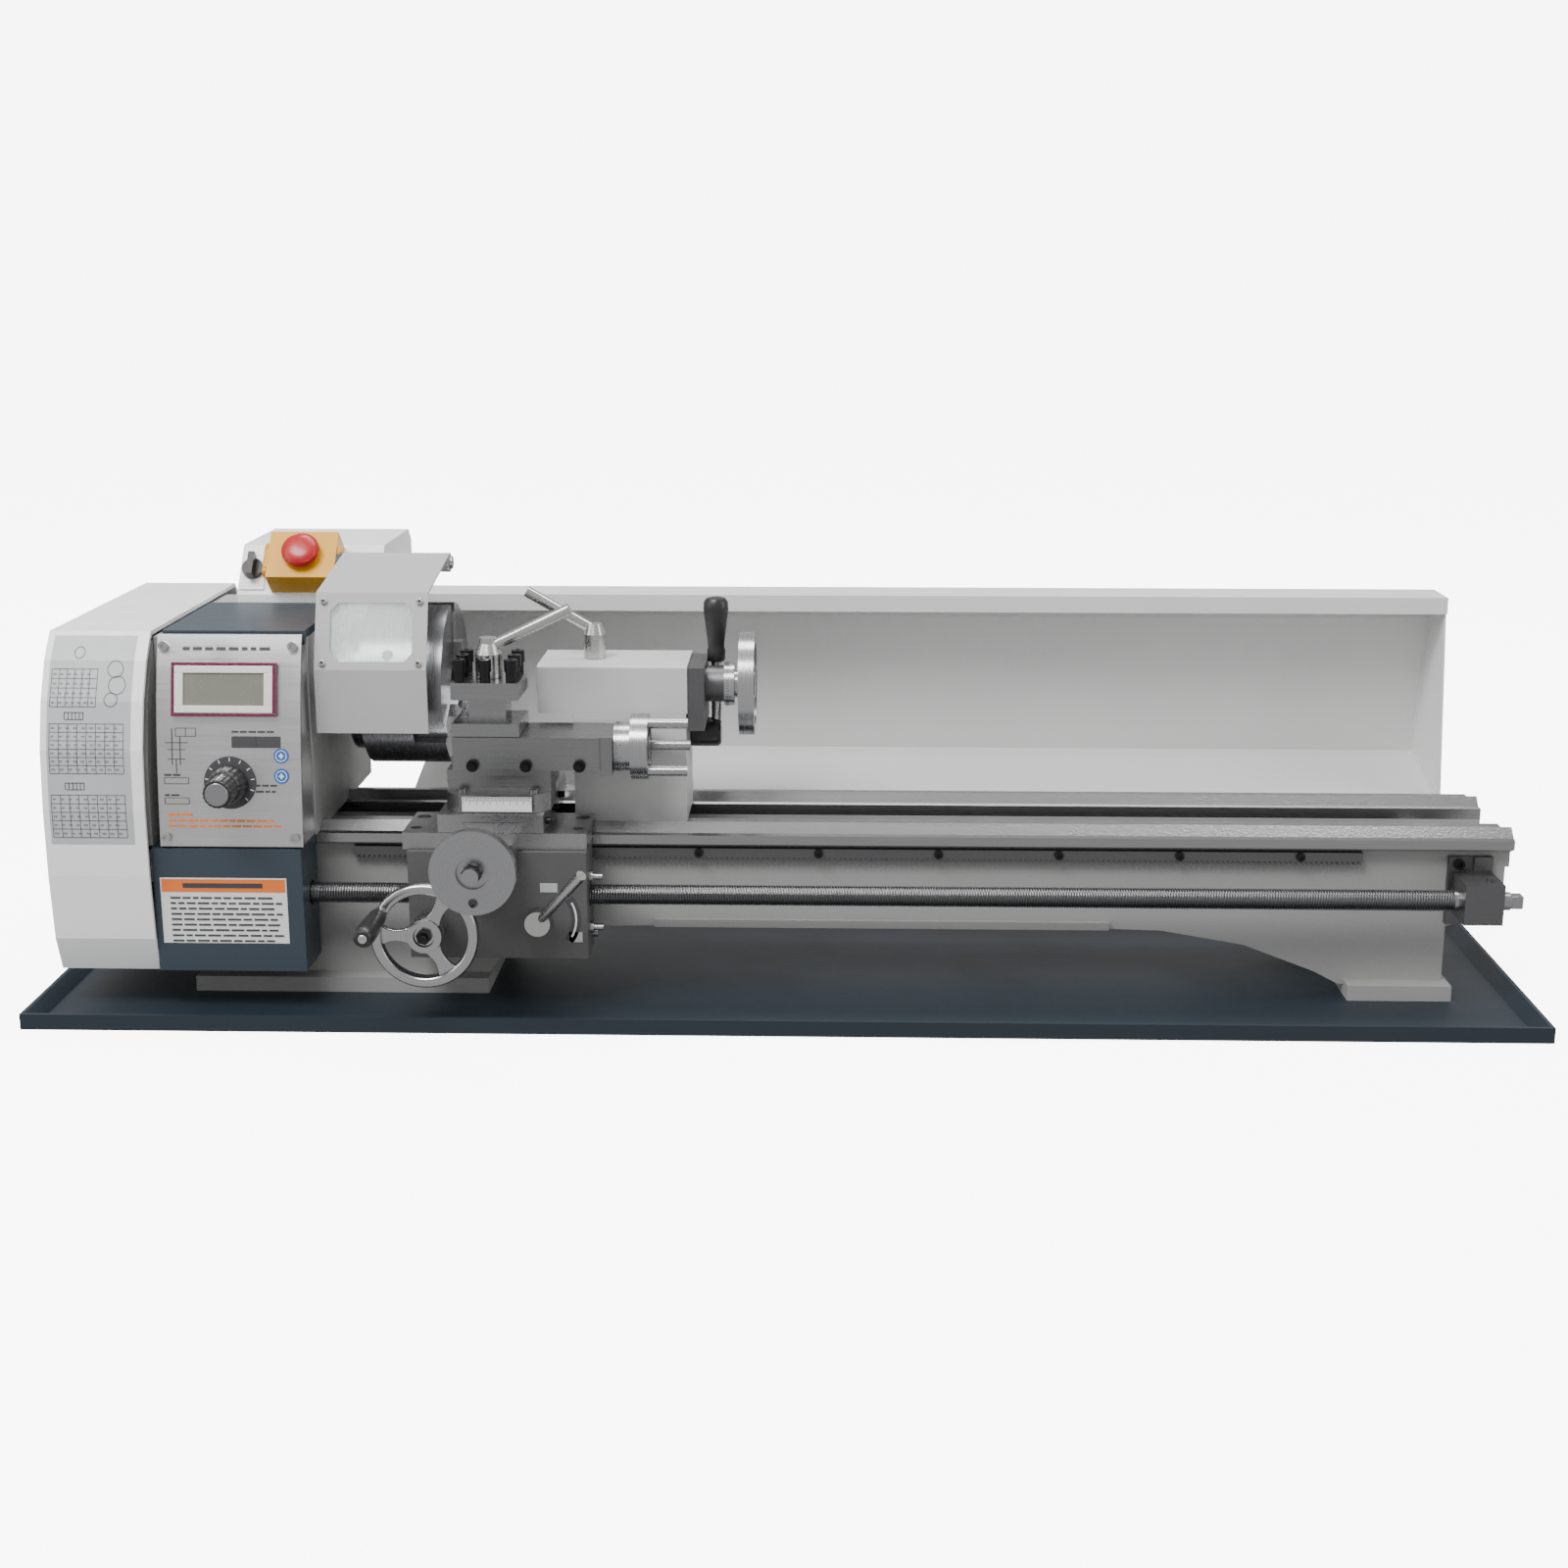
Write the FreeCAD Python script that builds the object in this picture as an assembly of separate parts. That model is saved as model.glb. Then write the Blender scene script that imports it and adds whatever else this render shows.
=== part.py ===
import FreeCAD, Part
import os, math
from FreeCAD import Vector as V

# ---------------------------------------------------------------- driving dimensions (mm)
AXIS_Z = 233.0        # spindle axis height above the tray's underside
BED_TOP = 130.0       # flat of the bed ways
BED_X0, BED_X1 = -468.0, 552.0
TRAY_X, TRAY_Y0, TRAY_Y1, TRAY_H = 565.0, -157.0, 183.0, 12.0
FOOT_Z0, FOOT_Z1 = 3.0, 15.0
BOLT_X0, BOLT_X1, BOLT_Y, BOLT_R = -400.0, 473.0, 40.0, 5.0
CHUCK_R = 62.5
MODULE = 1.25         # feed rack and apron gears
RACK_PITCH_Z = 109.4
LS_Y, LS_Z, LS_R = -90.0, 88.0, 8.0      # leadscrew
HW_X, HW_Z = -262.0, 73.0                # carriage handwheel
RP_X, RP_Z = -253.4, 101.85              # rack pinion
SPINDLE_BORE_R = 19.0
BEZ_TILT = -13.5
TS_HW_R = 40.0

os.makedirs("parts", exist_ok=True)
EX, EY, EZ = V(1, 0, 0), V(0, 1, 0), V(0, 0, 1)


def box(x0, x1, y0, y1, z0, z1):
    return Part.makeBox(x1 - x0, y1 - y0, z1 - z0, V(x0, y0, z0))


def cx(x0, x1, y, z, r):
    return Part.makeCylinder(r, x1 - x0, V(x0, y, z), EX)


def cy(y0, y1, x, z, r):
    return Part.makeCylinder(r, y1 - y0, V(x, y0, z), EY)


def cz(z0, z1, x, y, r):
    return Part.makeCylinder(r, z1 - z0, V(x, y, z0), EZ)


def cone(p, d, r0, r1, h):
    return Part.makeCone(r0, r1, h, V(*p), V(*d))


def rod(p, q, r):
    a, b = V(*p), V(*q)
    return Part.makeCylinder(r, (b - a).Length, a, b - a)


def face(pts):
    pts = [V(*p) for p in pts]
    return Part.Face(Part.makePolygon(pts + [pts[0]]))


def yz(pts, x0, x1):
    return face([(x0, y, z) for y, z in pts]).extrude(V(x1 - x0, 0, 0))


def xz(pts, y0, y1):
    return face([(x, y0, z) for x, z in pts]).extrude(V(0, y1 - y0, 0))


def xy(pts, z0, z1):
    return face([(x, y, z0) for x, y in pts]).extrude(V(0, 0, z1 - z0))


def fuse(*s):
    r = s[0].multiFuse(list(s[1:])) if len(s) > 1 else s[0]
    return r.removeSplitter()


def group(*s):
    return Part.makeCompound(list(s))


def fillet(s, r, test):
    e = [x for x in s.Edges if test(x)]
    try:
        t = s.makeFillet(r, e)
        return t if t.isValid() else s
    except Exception:
        return s


def gear(n, m, cxv, czv, y0, y1, phase=0.0, thin=0.0, axis="y"):
    # spur gear with straight-sided teeth of the involute's pitch-line width
    rp, ra, rf = n * m / 2, n * m / 2 + m * 0.95, n * m / 2 - 1.2 * m
    pts = []
    for i in range(n):
        a = 2 * math.pi * i / n + phase
        p = 2 * math.pi / n
        hr, hp, ha = 0.31 * p, (0.25 * p) - thin / rp, 0.13 * p
        for r, d in ((rf, -hr), (rp, -hp), (ra, -ha), (ra, ha), (rp, hp), (rf, hr)):
            pts.append((r * math.cos(a + d), r * math.sin(a + d)))
    if axis == "y":
        return xz([(cxv + u, czv + w) for u, w in pts], y0, y1)
    return yz([(cxv + u, czv + w) for u, w in pts], y0, y1)


PIECES = {}


def save(name, s):
    PIECES[name] = s


def hexsock(p, d, r, depth, af):
    # hexagon socket as a cutter: six-sided prism of width af across flats
    a, n = V(*p), V(*d)
    n.normalize()
    u = n.cross(EX if abs(n.x) < 0.9 else EY)
    u.normalize()
    w = n.cross(u)
    R = af / math.sqrt(3)
    q = [a + u * (R * math.cos(k * math.pi / 3)) + w * (R * math.sin(k * math.pi / 3)) for k in range(6)]
    return Part.Face(Part.makePolygon(q + [q[0]])).extrude(n * -depth)


def screw(p, d, r, h, af):
    # socket-head screw head standing on p along d
    a, n = V(*p), V(*d)
    n.normalize()
    b = Part.makeCylinder(r, h, a, n)
    return b.cut(hexsock(tuple(a + n * (h + 0.01)), d, r, h * 0.6, af))


# ================================================================ base and bed
tray = box(-TRAY_X, TRAY_X, TRAY_Y0, TRAY_Y1, 0, TRAY_H)
inner_lo = [(-TRAY_X + 12, TRAY_Y0 + 12), (TRAY_X - 12, TRAY_Y0 + 12), (TRAY_X - 12, TRAY_Y1 - 12), (-TRAY_X + 12, TRAY_Y1 - 12)]
inner_hi = [(-TRAY_X + 3, TRAY_Y0 + 3), (TRAY_X - 3, TRAY_Y0 + 3), (TRAY_X - 3, TRAY_Y1 - 3), (-TRAY_X + 3, TRAY_Y1 - 3)]
w0 = Part.makePolygon([V(x, y, FOOT_Z0) for x, y in inner_lo + inner_lo[:1]])
w1 = Part.makePolygon([V(x, y, TRAY_H + 0.01) for x, y in inner_hi + inner_hi[:1]])
tray = tray.cut(Part.makeLoft([w0, w1], True))
for bx in (BOLT_X0, BOLT_X1):
    for s in (-1, 1):
        tray = tray.cut(cz(-1, 5, bx, s * BOLT_Y, BOLT_R))
save("chip_tray", tray)

T = BED_TOP
front_rail = yz([(-70, T - 8), (-70, T - 1), (-66, T), (-58, T + 7), (-50, T), (-22, T), (-22, T - 16), (-50, T - 18), (-50, T - 24), (-60, T - 24), (-60, T - 12)], BED_X0, BED_X1)
rear_rail = yz([(22, T - 16), (22, T), (29, T), (36, T + 7), (43, T), (70, T), (70, T - 8), (60, T - 12), (60, T - 24), (50, T - 24), (50, T - 18)], BED_X0, BED_X1)
web_pts = [(BED_X0 + 15, FOOT_Z1 - 4), (-232, FOOT_Z1 - 4), (-222, 25), (-200, 42), (-150, 53), (-100, 54), (250, 54), (290, 53), (354, 42), (409, 21), (428, FOOT_Z1 - 4), (507, FOOT_Z1 - 4), (507, 58), (BED_X1 - 3, 74), (BED_X1 - 3, T - 20), (BED_X0, T - 20), (BED_X0, 60), (BED_X0 + 15, 50)]
ribs = [box(x, x + 10, -52, 52, 56, 96) for x in (-350, -180, -10, 160, 330)]
ends = [box(497, 507, -52, 52, FOOT_Z1 - 4, T - 18), box(BED_X0 + 15, BED_X0 + 25, -52, 52, FOOT_Z1 - 4, T - 18)]
flange = [box(-100, 250, -64, -50, 54, 60), box(-100, 250, 50, 64, 54, 60)]
feet = [box(432, 511, -76, 76, FOOT_Z0, FOOT_Z1), box(-456, -228, -76, 76, FOOT_Z0, FOOT_Z1)]
bed = fuse(front_rail, rear_rail, xz(web_pts, -60, -50), xz(web_pts, 50, 60), *(ribs + ends + flange + feet))
for bx in (BOLT_X0, BOLT_X1):
    for s in (-1, 1):
        bed = bed.cut(cz(0, 20, bx, s * BOLT_Y, BOLT_R))
save("bed_casting", bed)

# feed rack hung under the front way, teeth downwards
P = math.pi * MODULE
RX0, NT = -330.0, 196
rp = [(RX0, T - 12.2)]
rp.append((RX0, RACK_PITCH_Z + 1.4))
for i in range(NT):
    x = RX0 + P * i
    rp += [(x + 0.15 * P, RACK_PITCH_Z + 1.4), (x + 0.27 * P, RACK_PITCH_Z), (x + 0.38 * P, RACK_PITCH_Z - 1.15), (x + 0.62 * P, RACK_PITCH_Z - 1.15), (x + 0.73 * P, RACK_PITCH_Z), (x + 0.85 * P, RACK_PITCH_Z + 1.4)]
rp += [(RX0 + P * NT, RACK_PITCH_Z + 1.4), (RX0 + P * NT, T - 12.2)]
save("feed_rack", xz(rp, -66, -60))
save("rack_screws", group(*[screw((x, -66, 114.4), (0, -1, 0), 3.4, 2.4, 3) for x in [-65 + 91.5 * k for k in range(-1, 6)]]))

# leadscrew end bracket with its bearing boss, slot and oiler
br = fuse(box(505, 538, -66, -60, 62, 115), box(508, 537, -104, -66, 73, 104))
br = br.cut(cx(500, 560, LS_Y, LS_Z, 7.05)).cut(box(513, 524, -67, -63, 92, 116).cut(box(500, 560, -70, -60, 0, 104.5)))
br = fuse(br, cz(104, 107, 529, -92, 3))
save("leadscrew_bracket", br)
save("bracket_screws", group(screw((512, -66, 110), (0, -1, 0), 4, 4, 4), screw((528, -66, 66.5), (0, -1, 0), 4, 4, 4)))

# rear splash guard: bent sheet
SG_T = 1.5
so = [(120, 281.5), (122, 283), (162, 283), (163.5, 281.5), (163.5, 258), (197, 136), (72, 108)]
def sheet(pts, x0, x1, t):
    # closed strip of thickness t along an open polyline in the YZ plane
    n = len(pts)
    off = []
    for i in range(n):
        d = []
        for a, b in ((i - 1, i), (i, i + 1)):
            if 0 <= a and b < n:
                e = V(0, pts[b][0] - pts[a][0], pts[b][1] - pts[a][1]); e.normalize(); d.append(e)
        m = d[0] if len(d) == 1 else d[0] + d[1]
        m.normalize()
        nn = V(0, -m.z, m.y)
        k = t / max(0.3, nn.dot(V(0, -d[0].z, d[0].y)))
        off.append((pts[i][0] + nn.y * k, pts[i][1] + nn.z * k))
    return yz(list(pts) + off[::-1], x0, x1)
def strips(pts, x0, x1, t):
    # the same bent sheet, one solid per flat panel, meeting on the bend's mitre
    n, out = len(pts), []
    nn = []
    for i in range(n):
        d = []
        for a, b in ((i - 1, i), (i, i + 1)):
            if 0 <= a and b < n:
                e = V(0, pts[b][0] - pts[a][0], pts[b][1] - pts[a][1]); e.normalize(); d.append(e)
        m = d[0] if len(d) == 1 else d[0] + d[1]
        m.normalize()
        w = V(0, -m.z, m.y)
        nn.append(w * (t / max(0.3, w.dot(V(0, -d[0].z, d[0].y)))))
    for i in range(n - 1):
        p, q, u, w = pts[i], pts[i + 1], nn[i], nn[i + 1]
        out.append(yz([p, q, (q[0] + w.y, q[1] + w.z), (p[0] + u.y, p[1] + u.z)], x0, x1))
    return out
guard_pts = [(120, 270), (120, 282), (163, 282), (163, 259), (197, 137), (96, 113)]
side = [yz([(122, 271), (122, 280), (161.2, 280), (161.2, 259)], 539.5, 541), yz([(122, 271), (161.2, 259), (194.5, 138.2), (98, 115.4)], 539.5, 541)]
save("rear_splash_guard", group(*(strips(guard_pts, -318, 541, SG_T) + side)))
save("splash_guard_brackets", group(*[box(x, x + 25, 60.2, 120, 106, 109).fuse(box(x, x + 25, 60.2, 63, 92, 106.1)).removeSplitter() for x in (-100, 150, 480)]))

# ================================================================ headstock
HX0, HX1 = -470.0, -355.0
shell = yz([(-78, T + 0.3), (-78, 282), (44, 282), (120, 282), (120, T + 0.3)], HX0, HX1)
cav = box(HX0 + 12, HX1 - 12, -66, 108, T + 12, 276)
hs = shell.cut(cav)
hs = hs.cut(yz([(-67, T), (-58, T + 7.3), (-49, T)], HX0 - 1, HX1 + 1)).cut(yz([(28, T), (36, T + 7.5), (44, T)], HX0 - 1, HX1 + 1))
hs = hs.cut(cx(HX0 - 1, HX1 + 1, 0, AXIS_Z, 31))
save("headstock_casting", hs)
save("spindle_bearings", group(*[cx(a, a + 12, 0, AXIS_Z, 30.9).cut(cx(a - 1, a + 13, 0, AXIS_Z, 25.05)) for a in (HX0, HX1 - 12)]))

top = yz([(-84, 278), (-78.2, 282.2), (-78.2, 286), (-84, 286)], HX0 + 9, HX1).fuse(box(HX0 + 9, HX1, -84, 44, 282.2, 288))
save("headstock_top_cover", top.removeSplitter())

# curved instrument panel
def arc_panel(y_off, t, x0, x1, z0, z1):
    o = [(-88 + y_off, 286), (-101 + y_off, 246), (-109 + y_off, 206), (-114 + y_off, 166), (-117 + y_off, 131)]
    i = [(y + t, z) for y, z in o][::-1]
    a = Part.BSplineCurve(); a.interpolate([V(x0, y, z) for y, z in o])
    b = Part.BSplineCurve(); b.interpolate([V(x0, y, z) for y, z in i])
    w = Part.Wire([a.toShape(), Part.LineSegment(V(x0, *o[-1]), V(x0, *i[0])).toShape(), b.toShape(), Part.LineSegment(V(x0, *i[-1]), V(x0, *o[0])).toShape()])
    return Part.Face(w).extrude(V(x1 - x0, 0, 0))
panel = arc_panel(0, 2, -463, -356, 131, 286)
panel = panel.cut(cy(-140, -90, -409, 179, 5.2))
save("control_panel", panel)
backing = yz([(-86, 277.5), (-78.2, 277.5), (-78.2, 132), (-113.5, 132), (-111, 166), (-106, 206), (-98, 246)], -463, -356)
backing = backing.cut(yz([(-79, 270), (-78, 140), (-105, 140), (-100, 206), (-88, 250)], -455, -364)).cut(cy(-140, -70, -409, 179, 5.2))
save("panel_frame", backing)
lower = box(-470, -358, -118, -63, 34, 129.5)
lower = lower.cut(box(-466, -362, -113, -62, 38, 130))
lower = lower.cut(cx(-362.5, -357, LS_Y, LS_Z, 9.5)).cut(cx(-471, -465, LS_Y, LS_Z, 9.5)).cut(box(-471, -465, -71.5, -60, 30, 131))
lower = lower.cut(box(-363, -357, -71.5, -60, 30, 131))
save("headstock_lower_cover", fuse(lower))
save("panel_screws", group(*[screw((x, y, z), (0, -1, 0.1), 3.6, 3, 3) for x, z, y in ((-458, 278, -92.1), (-362, 278, -92.1), (-458, 138, -117.2), (-362, 138, -117.2))]))

# display bezel tilted with the panel
def tilt(s, c, deg):
    s = s.copy(); s.rotate(V(*c), EX, deg); return s
bez = box(-451, -373, -105.8, -101.3, 227, 267)
bez = bez.cut(box(-442, -382, -107, -103, 234, 260))
save("display_bezel", tilt(bez, (-412, -101.3, 247), BEZ_TILT))
save("display_window", tilt(box(-441.8, -382.2, -104.6, -103.05, 234.2, 259.8), (-412, -101.3, 247), BEZ_TILT))

# gear cover: rounded front
gc = [(-82, 287), (150, 287), (162, 275), (162, 36), (150, 33), (-112, 33), (-122, 60), (-126, 110), (-126, 160), (-122, 205), (-112, 240), (-98, 268)]
gi = [(-80, 284), (149, 284), (159, 274), (159, 38), (149, 36), (-110, 36), (-119, 61), (-123, 110), (-123, 160), (-119, 205), (-109, 239), (-95, 266)]
cov = yz(gc, -546, -470.2).cut(yz(gi, -543, -469))
save("gear_cover", cov)
bp = yz([(-80, 278), (146, 278), (146, 42), (-105, 42), (-112, 100), (-112, 190), (-100, 240)], -474.9, -470.3)
bp = bp.cut(cx(-480, -465, 0, AXIS_Z, 26)).cut(cx(-480, -465, LS_Y, LS_Z, 9)).cut(cx(-480, -465, 78, 172, 14)).cut(box(-476, -468, -120, -62, 30, 130)).cut(box(-480, -465, -64, 64, 30, 112))
save("gear_end_plate", bp)

# electrical box behind the headstock cover
eb = yz([(46, 282.3), (46, 294), (76, 330), (176, 330), (186, 320), (186, 240), (122, 240), (122, 282.3)], -440, -326)
eb = eb.cut(yz([(49, 285), (49, 293), (77, 327), (175, 327), (183, 319), (183, 243), (125, 243), (125, 285)], -437, -329))
eb = eb.cut(box(-330, -325, 140, 152, 262, 274))
save("power_inlet", fuse(cx(-326, -318, 146, 268, 8), cx(-332, -326, 146, 268, 5.9)))
# sloping face direction
SD = V(0, 30, 36); SD.normalize(); SN = V(0, -36, 30); SN.normalize()
def slope(u0, u1, s0, s1, n0, n1):
    b = Part.makeBox(u1 - u0, s1 - s0, n1 - n0)
    m = FreeCAD.Matrix(1, 0, 0, u0, 0, SD.y, SN.y, 46 + SD.y * s0 + SN.y * n0, 0, SD.z, SN.z, 294 + SD.z * s0 + SN.z * n0, 0, 0, 0, 1)
    return b.transformGeometry(m)
def spt(u, s, n):
    return V(u, 46 + SD.y * s + SN.y * n, 294 + SD.z * s + SN.z * n)
def scyl(u, s, n0, n1, r):
    return Part.makeCylinder(r, n1 - n0, spt(u, s, n0), SN)
save("electrical_box", eb.cut(scyl(-429, 22, -12, 3, 4.3)))
save("switch_plate", slope(-439, -419, 4, 40, 0.05, 1.6).cut(scyl(-429, 22, -5, 5, 4.2)))
kn = fuse(scyl(-429, 22, 1.9, 6, 8.5), scyl(-429, 22, -6, 1.9, 4.15), slope(-431.5, -426.5, 12, 32, 5.9, 14))
save("direction_knob", kn)
SU = -385.0           # middle of the stop switch along X
base = slope(SU - 27, SU + 27, 2, 44, 0.05, 16).cut(slope(SU - 24, SU + 24, 5, 41, 4, 17))
HU, HN = SU - 30, 16.3   # hinge pin of the switch lid, along the slope
def scy(s0, s1, r):
    return Part.makeCylinder(r, s1 - s0, spt(HU, s0, HN), SD)
base = fuse(base, *[f for a, b in ((10, 14), (32, 36)) for f in (slope(HU - 2.6, SU - 26.9, a, b, 9, 16), scy(a, b, 2.6))])
base = base.fuse(scy(9, 37, 1.5)).removeSplitter()
for du in (-12, 12):
    base = base.cut(scyl(SU + du, 23, -0.5, 5, 3.1))
save("stop_switch_base", base)
lidp = slope(SU - 27, SU + 27, 2, 44, 16.3, 24).cut(slope(SU - 24, SU + 24, 5, 41, 16, 21)).cut(scyl(SU, 23, 15, 30, 6.1))
lidp = fuse(lidp, slope(SU + 27, SU + 29.5, 15, 31, 16.3, 22), slope(HU, SU - 26.9, 14.3, 31.7, 17, 18.9), scy(14.3, 31.7, 2.6)).cut(scy(13, 33, 1.55))
save("stop_switch_lid", lidp)
save("stop_mushroom", fuse(scyl(SU, 23, 28, 37, 15), scyl(SU, 23, 12, 28.5, 6.05)))
save("start_button", fuse(scyl(SU - 12, 23, 6.6, 13, 5), scyl(SU - 12, 23, 2.3, 6.7, 2.9)))
save("stop_button", fuse(scyl(SU + 12, 23, 6.6, 13, 5), scyl(SU + 12, 23, 2.3, 6.7, 2.9)))

# speed knob
sk = fuse(cy(-131, -114.6, -409, 179, 14), cy(-150, -131, -409, 179, 11), cy(-114.7, -88, -409, 179, 5.1))
save("speed_knob", sk)

# ================================================================ spindle and drive
sp = fuse(cx(-528, -480, 0, AXIS_Z, 22), cx(-480, -344, 0, AXIS_Z, 25), cx(-344, -334, 0, AXIS_Z, 34)).cut(cx(-530, -330, 0, AXIS_Z, SPINDLE_BORE_R))
save("spindle", sp)
chk = fuse(cx(-334, -322, 0, AXIS_Z, 52), cx(-322, -259, 0, AXIS_Z, CHUCK_R)).cut(cx(-340, -250, 0, AXIS_Z, SPINDLE_BORE_R))
def jawcut(k, ex):
    s = box(-283 - ex, -250, -7 - ex, 7 + ex, AXIS_Z + 0, AXIS_Z + 66)
    s.rotate(V(0, 0, AXIS_Z), EX, 120 * k); return s
def jaw(k):
    s = fuse(box(-282.8, -258, -6.7, 6.7, AXIS_Z + 21, AXIS_Z + 56), xz([(-258, AXIS_Z + 12), (-247, AXIS_Z + 12), (-247, AXIS_Z + 22), (-252, AXIS_Z + 22), (-252, AXIS_Z + 33), (-258, AXIS_Z + 33)], -6.7, 6.7), xz([(-260, AXIS_Z + 12), (-257, AXIS_Z + 12), (-257, AXIS_Z + 33), (-260, AXIS_Z + 33)], -6.7, 6.7))
    s.rotate(V(0, 0, AXIS_Z), EX, 120 * k); return s
for k in range(3):
    chk = chk.cut(jawcut(k, 0))
    save("chuck_jaw_%d" % (k + 1), jaw(k))
for k in range(3):
    a = math.radians(90 + 60 + 120 * k)
    d = (0, math.cos(a), math.sin(a))
    chk = chk.cut(hexsock((-300, d[1] * (CHUCK_R + 0.1), AXIS_Z + d[2] * (CHUCK_R + 0.1)), d, 5, 14, 8))
save("chuck_body", chk)

# toothed pulley pair and belt inside the headstock
save("spindle_pulley", cx(-430, -412, 0, AXIS_Z, 38).cut(cx(-431, -411, 0, AXIS_Z, 25)))
MY, MZ = 78.0, 172.0
save("motor_shaft_pulley", fuse(cx(-430, -412, MY, MZ, 14), cx(-438, -398, MY, MZ, 6)))
d = V(0, MY, MZ - AXIS_Z); L = d.Length
def hull2(g):
    a0 = math.atan2(MZ - AXIS_Z, MY); R, r = 38 + g, 14 + g
    b = math.acos((R - r) / L)
    p = []
    n = 40
    for i in range(n + 1):
        a = a0 + b + (2 * math.pi - 2 * b) * i / n
        p.append((R * math.cos(a), AXIS_Z + R * math.sin(a)))
    for i in range(n // 2 + 1):
        a = a0 - b + (2 * b) * i / (n // 2)
        p.append((MY + r * math.cos(a), MZ + r * math.sin(a)))
    return p
save("drive_belt", yz(hull2(2.6), -428, -414).cut(yz(hull2(0.6), -429, -413)))
save("drive_motor", cx(-398 + 0.3, -368, MY, MZ, 29).cut(cx(-399, -390, MY, MZ, 6.3)))

# change gears behind the gear cover (axes along X)
def dist(a, b):
    return math.hypot(a[0] - b[0], a[1] - b[1])
C1, C3 = (0.0, AXIS_Z), (LS_Y, LS_Z)
GM, GB = 1.0, 0.25    # change-gear module and centre-distance backlash
N1, NA, NB, N3 = 56, 72, 60, 50
d1a, dab, db3 = (N1 + NA) * GM / 2 + GB, (NA + NB) * GM / 2 + GB, (NB + N3) * GM / 2 + GB
CA = (0.0, AXIS_Z - d1a)
DA3 = dist(CA, C3)
t = (dab ** 2 - db3 ** 2 + DA3 ** 2) / (2 * DA3)
h = math.sqrt(max(0.0, dab ** 2 - t ** 2))
ux, uy = (C3[0] - CA[0]) / DA3, (C3[1] - CA[1]) / DA3
CB = (CA[0] + ux * t - uy * h, CA[1] + uy * t + ux * h)
print("idlers", CA, CB)
def ang(a, b):
    return math.atan2(b[1] - a[1], b[0] - a[0])
ph1 = ang(C1, CA)
pha = ang(C1, CA) + math.pi + math.pi / NA
phb = ang(CA, CB) + math.pi + (ang(CA, CB) - pha) * NA / NB + math.pi / NB
ph3 = ang(CB, C3) + math.pi + (ang(CB, C3) - phb) * NB / N3 + math.pi / N3
GX0, GX1 = -526.0, -516.0
save("spindle_gear", gear(N1, GM, C1[0], C1[1], GX0, GX1, ph1, 0.12, "x").cut(cx(-530, -510, 0, AXIS_Z, 22)))
save("idler_gear_upper", gear(NA, GM, CA[0], CA[1], GX0, GX1, pha, 0.12, "x").cut(cx(-530, -510, CA[0], CA[1], 8.05)))
save("idler_gear_lower", gear(NB, GM, CB[0], CB[1], GX0, GX1, phb, 0.12, "x").cut(cx(-530, -510, CB[0], CB[1], 8.05)))
save("leadscrew_gear", gear(N3, GM, C3[0], C3[1], GX0, GX1, ph3, 0.12, "x").cut(cx(-530, -510, LS_Y, LS_Z, 7)))
save("idler_studs", group(*[fuse(cx(-530, -475, c[0], c[1], 8), cx(-515.6, -475, c[0], c[1], 12)) for c in (CA, CB)]))
ls = fuse(cx(-528, -320, LS_Y, LS_Z, 7), cx(-340, 506, LS_Y, LS_Z, LS_R), cx(505, 545, LS_Y, LS_Z, 7), box(545, 554, LS_Y - 5, LS_Y + 5, LS_Z - 5, LS_Z + 5))
save("leadscrew", ls)

# ================================================================ chuck guard
GX_L, GX_R = -350.0, -266.0
HGY, HGZ = 36.0, 322.0
gp = [(-80, 210), (-80, 258), (-60, 312), (31, 327.5)]
gsheet = sheet(gp, GX_L, GX_R, 1.5)
def wslot(x0, x1, z0, z1, c, t):
    # chamfered opening punched square to Y through the slanted panel
    return xz([(x0 + c, z0), (x1 - c, z0), (x1, z0 + c), (x1, z1 - c), (x1 - c, z1), (x0 + c, z1), (x0, z1 - c), (x0, z0 + c)], -100, t)
gsheet = gsheet.cut(wslot(GX_L + 11, GX_R - 11, 264, 306, 6, -40))
tube = cx(GX_L, GX_R, HGY, HGZ, 7.5).cut(cx(GX_L - 1, GX_R + 1, HGY, HGZ, 5.05))
gsheet = fuse(gsheet.cut(cx(GX_L - 1, GX_R + 1, HGY, HGZ, 5.05)), tube)
save("chuck_guard", gsheet)
pane = sheet([(-76.9, 260.4), (-59.4, 307.7)], GX_L + 5, GX_R - 5, 1.6)
wn = V(0, -59, 22); wn.normalize()
save("guard_screws", group(*[screw((x, -80 + (z - 258) * 20 / 54.0 - 1.9, z), (0, -54, 20), 2.6, 2.2, 2.5) for x in (GX_L + 6, GX_R - 6) for z in (263, 307)]))
save("guard_window", pane)
save("guard_hinge_rod", fuse(cx(-354.9, GX_R + 2, HGY, HGZ, 5), box(-354.9, -351, 28, 43.5, 255, 329)))

# ================================================================ carriage
saddle = fuse(box(-284, -146, -107, -46, 130.3, 140), box(-284, -146, -107, -71.2, 127.2, 131), box(-258, -182, -47, 47, 130.3, 140), box(-274, -160, 46, 92, 130.3, 140), box(-274, -160, 71.2, 92, 108, 131))
saddle = saddle.cut(yz([(-67.5, T - 1), (-58, T + 7.9), (-48.5, T - 1)], -290, -140)).cut(yz([(26.5, T - 1), (36, T + 7.9), (45.5, T - 1)], -290, -140))
CSX = -217.5
dov = xz([(CSX - 15, 139.9), (CSX + 15, 139.9), (CSX + 21, 148), (CSX - 21, 148)], -107, 47)
saddle = fuse(saddle, dov)
for hx in (-276, -154):
    saddle = saddle.cut(cz(133, 141, hx, -60, 5.5)).cut(cz(134, 141, hx, -92, 4.2))
save("saddle", saddle)
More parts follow.
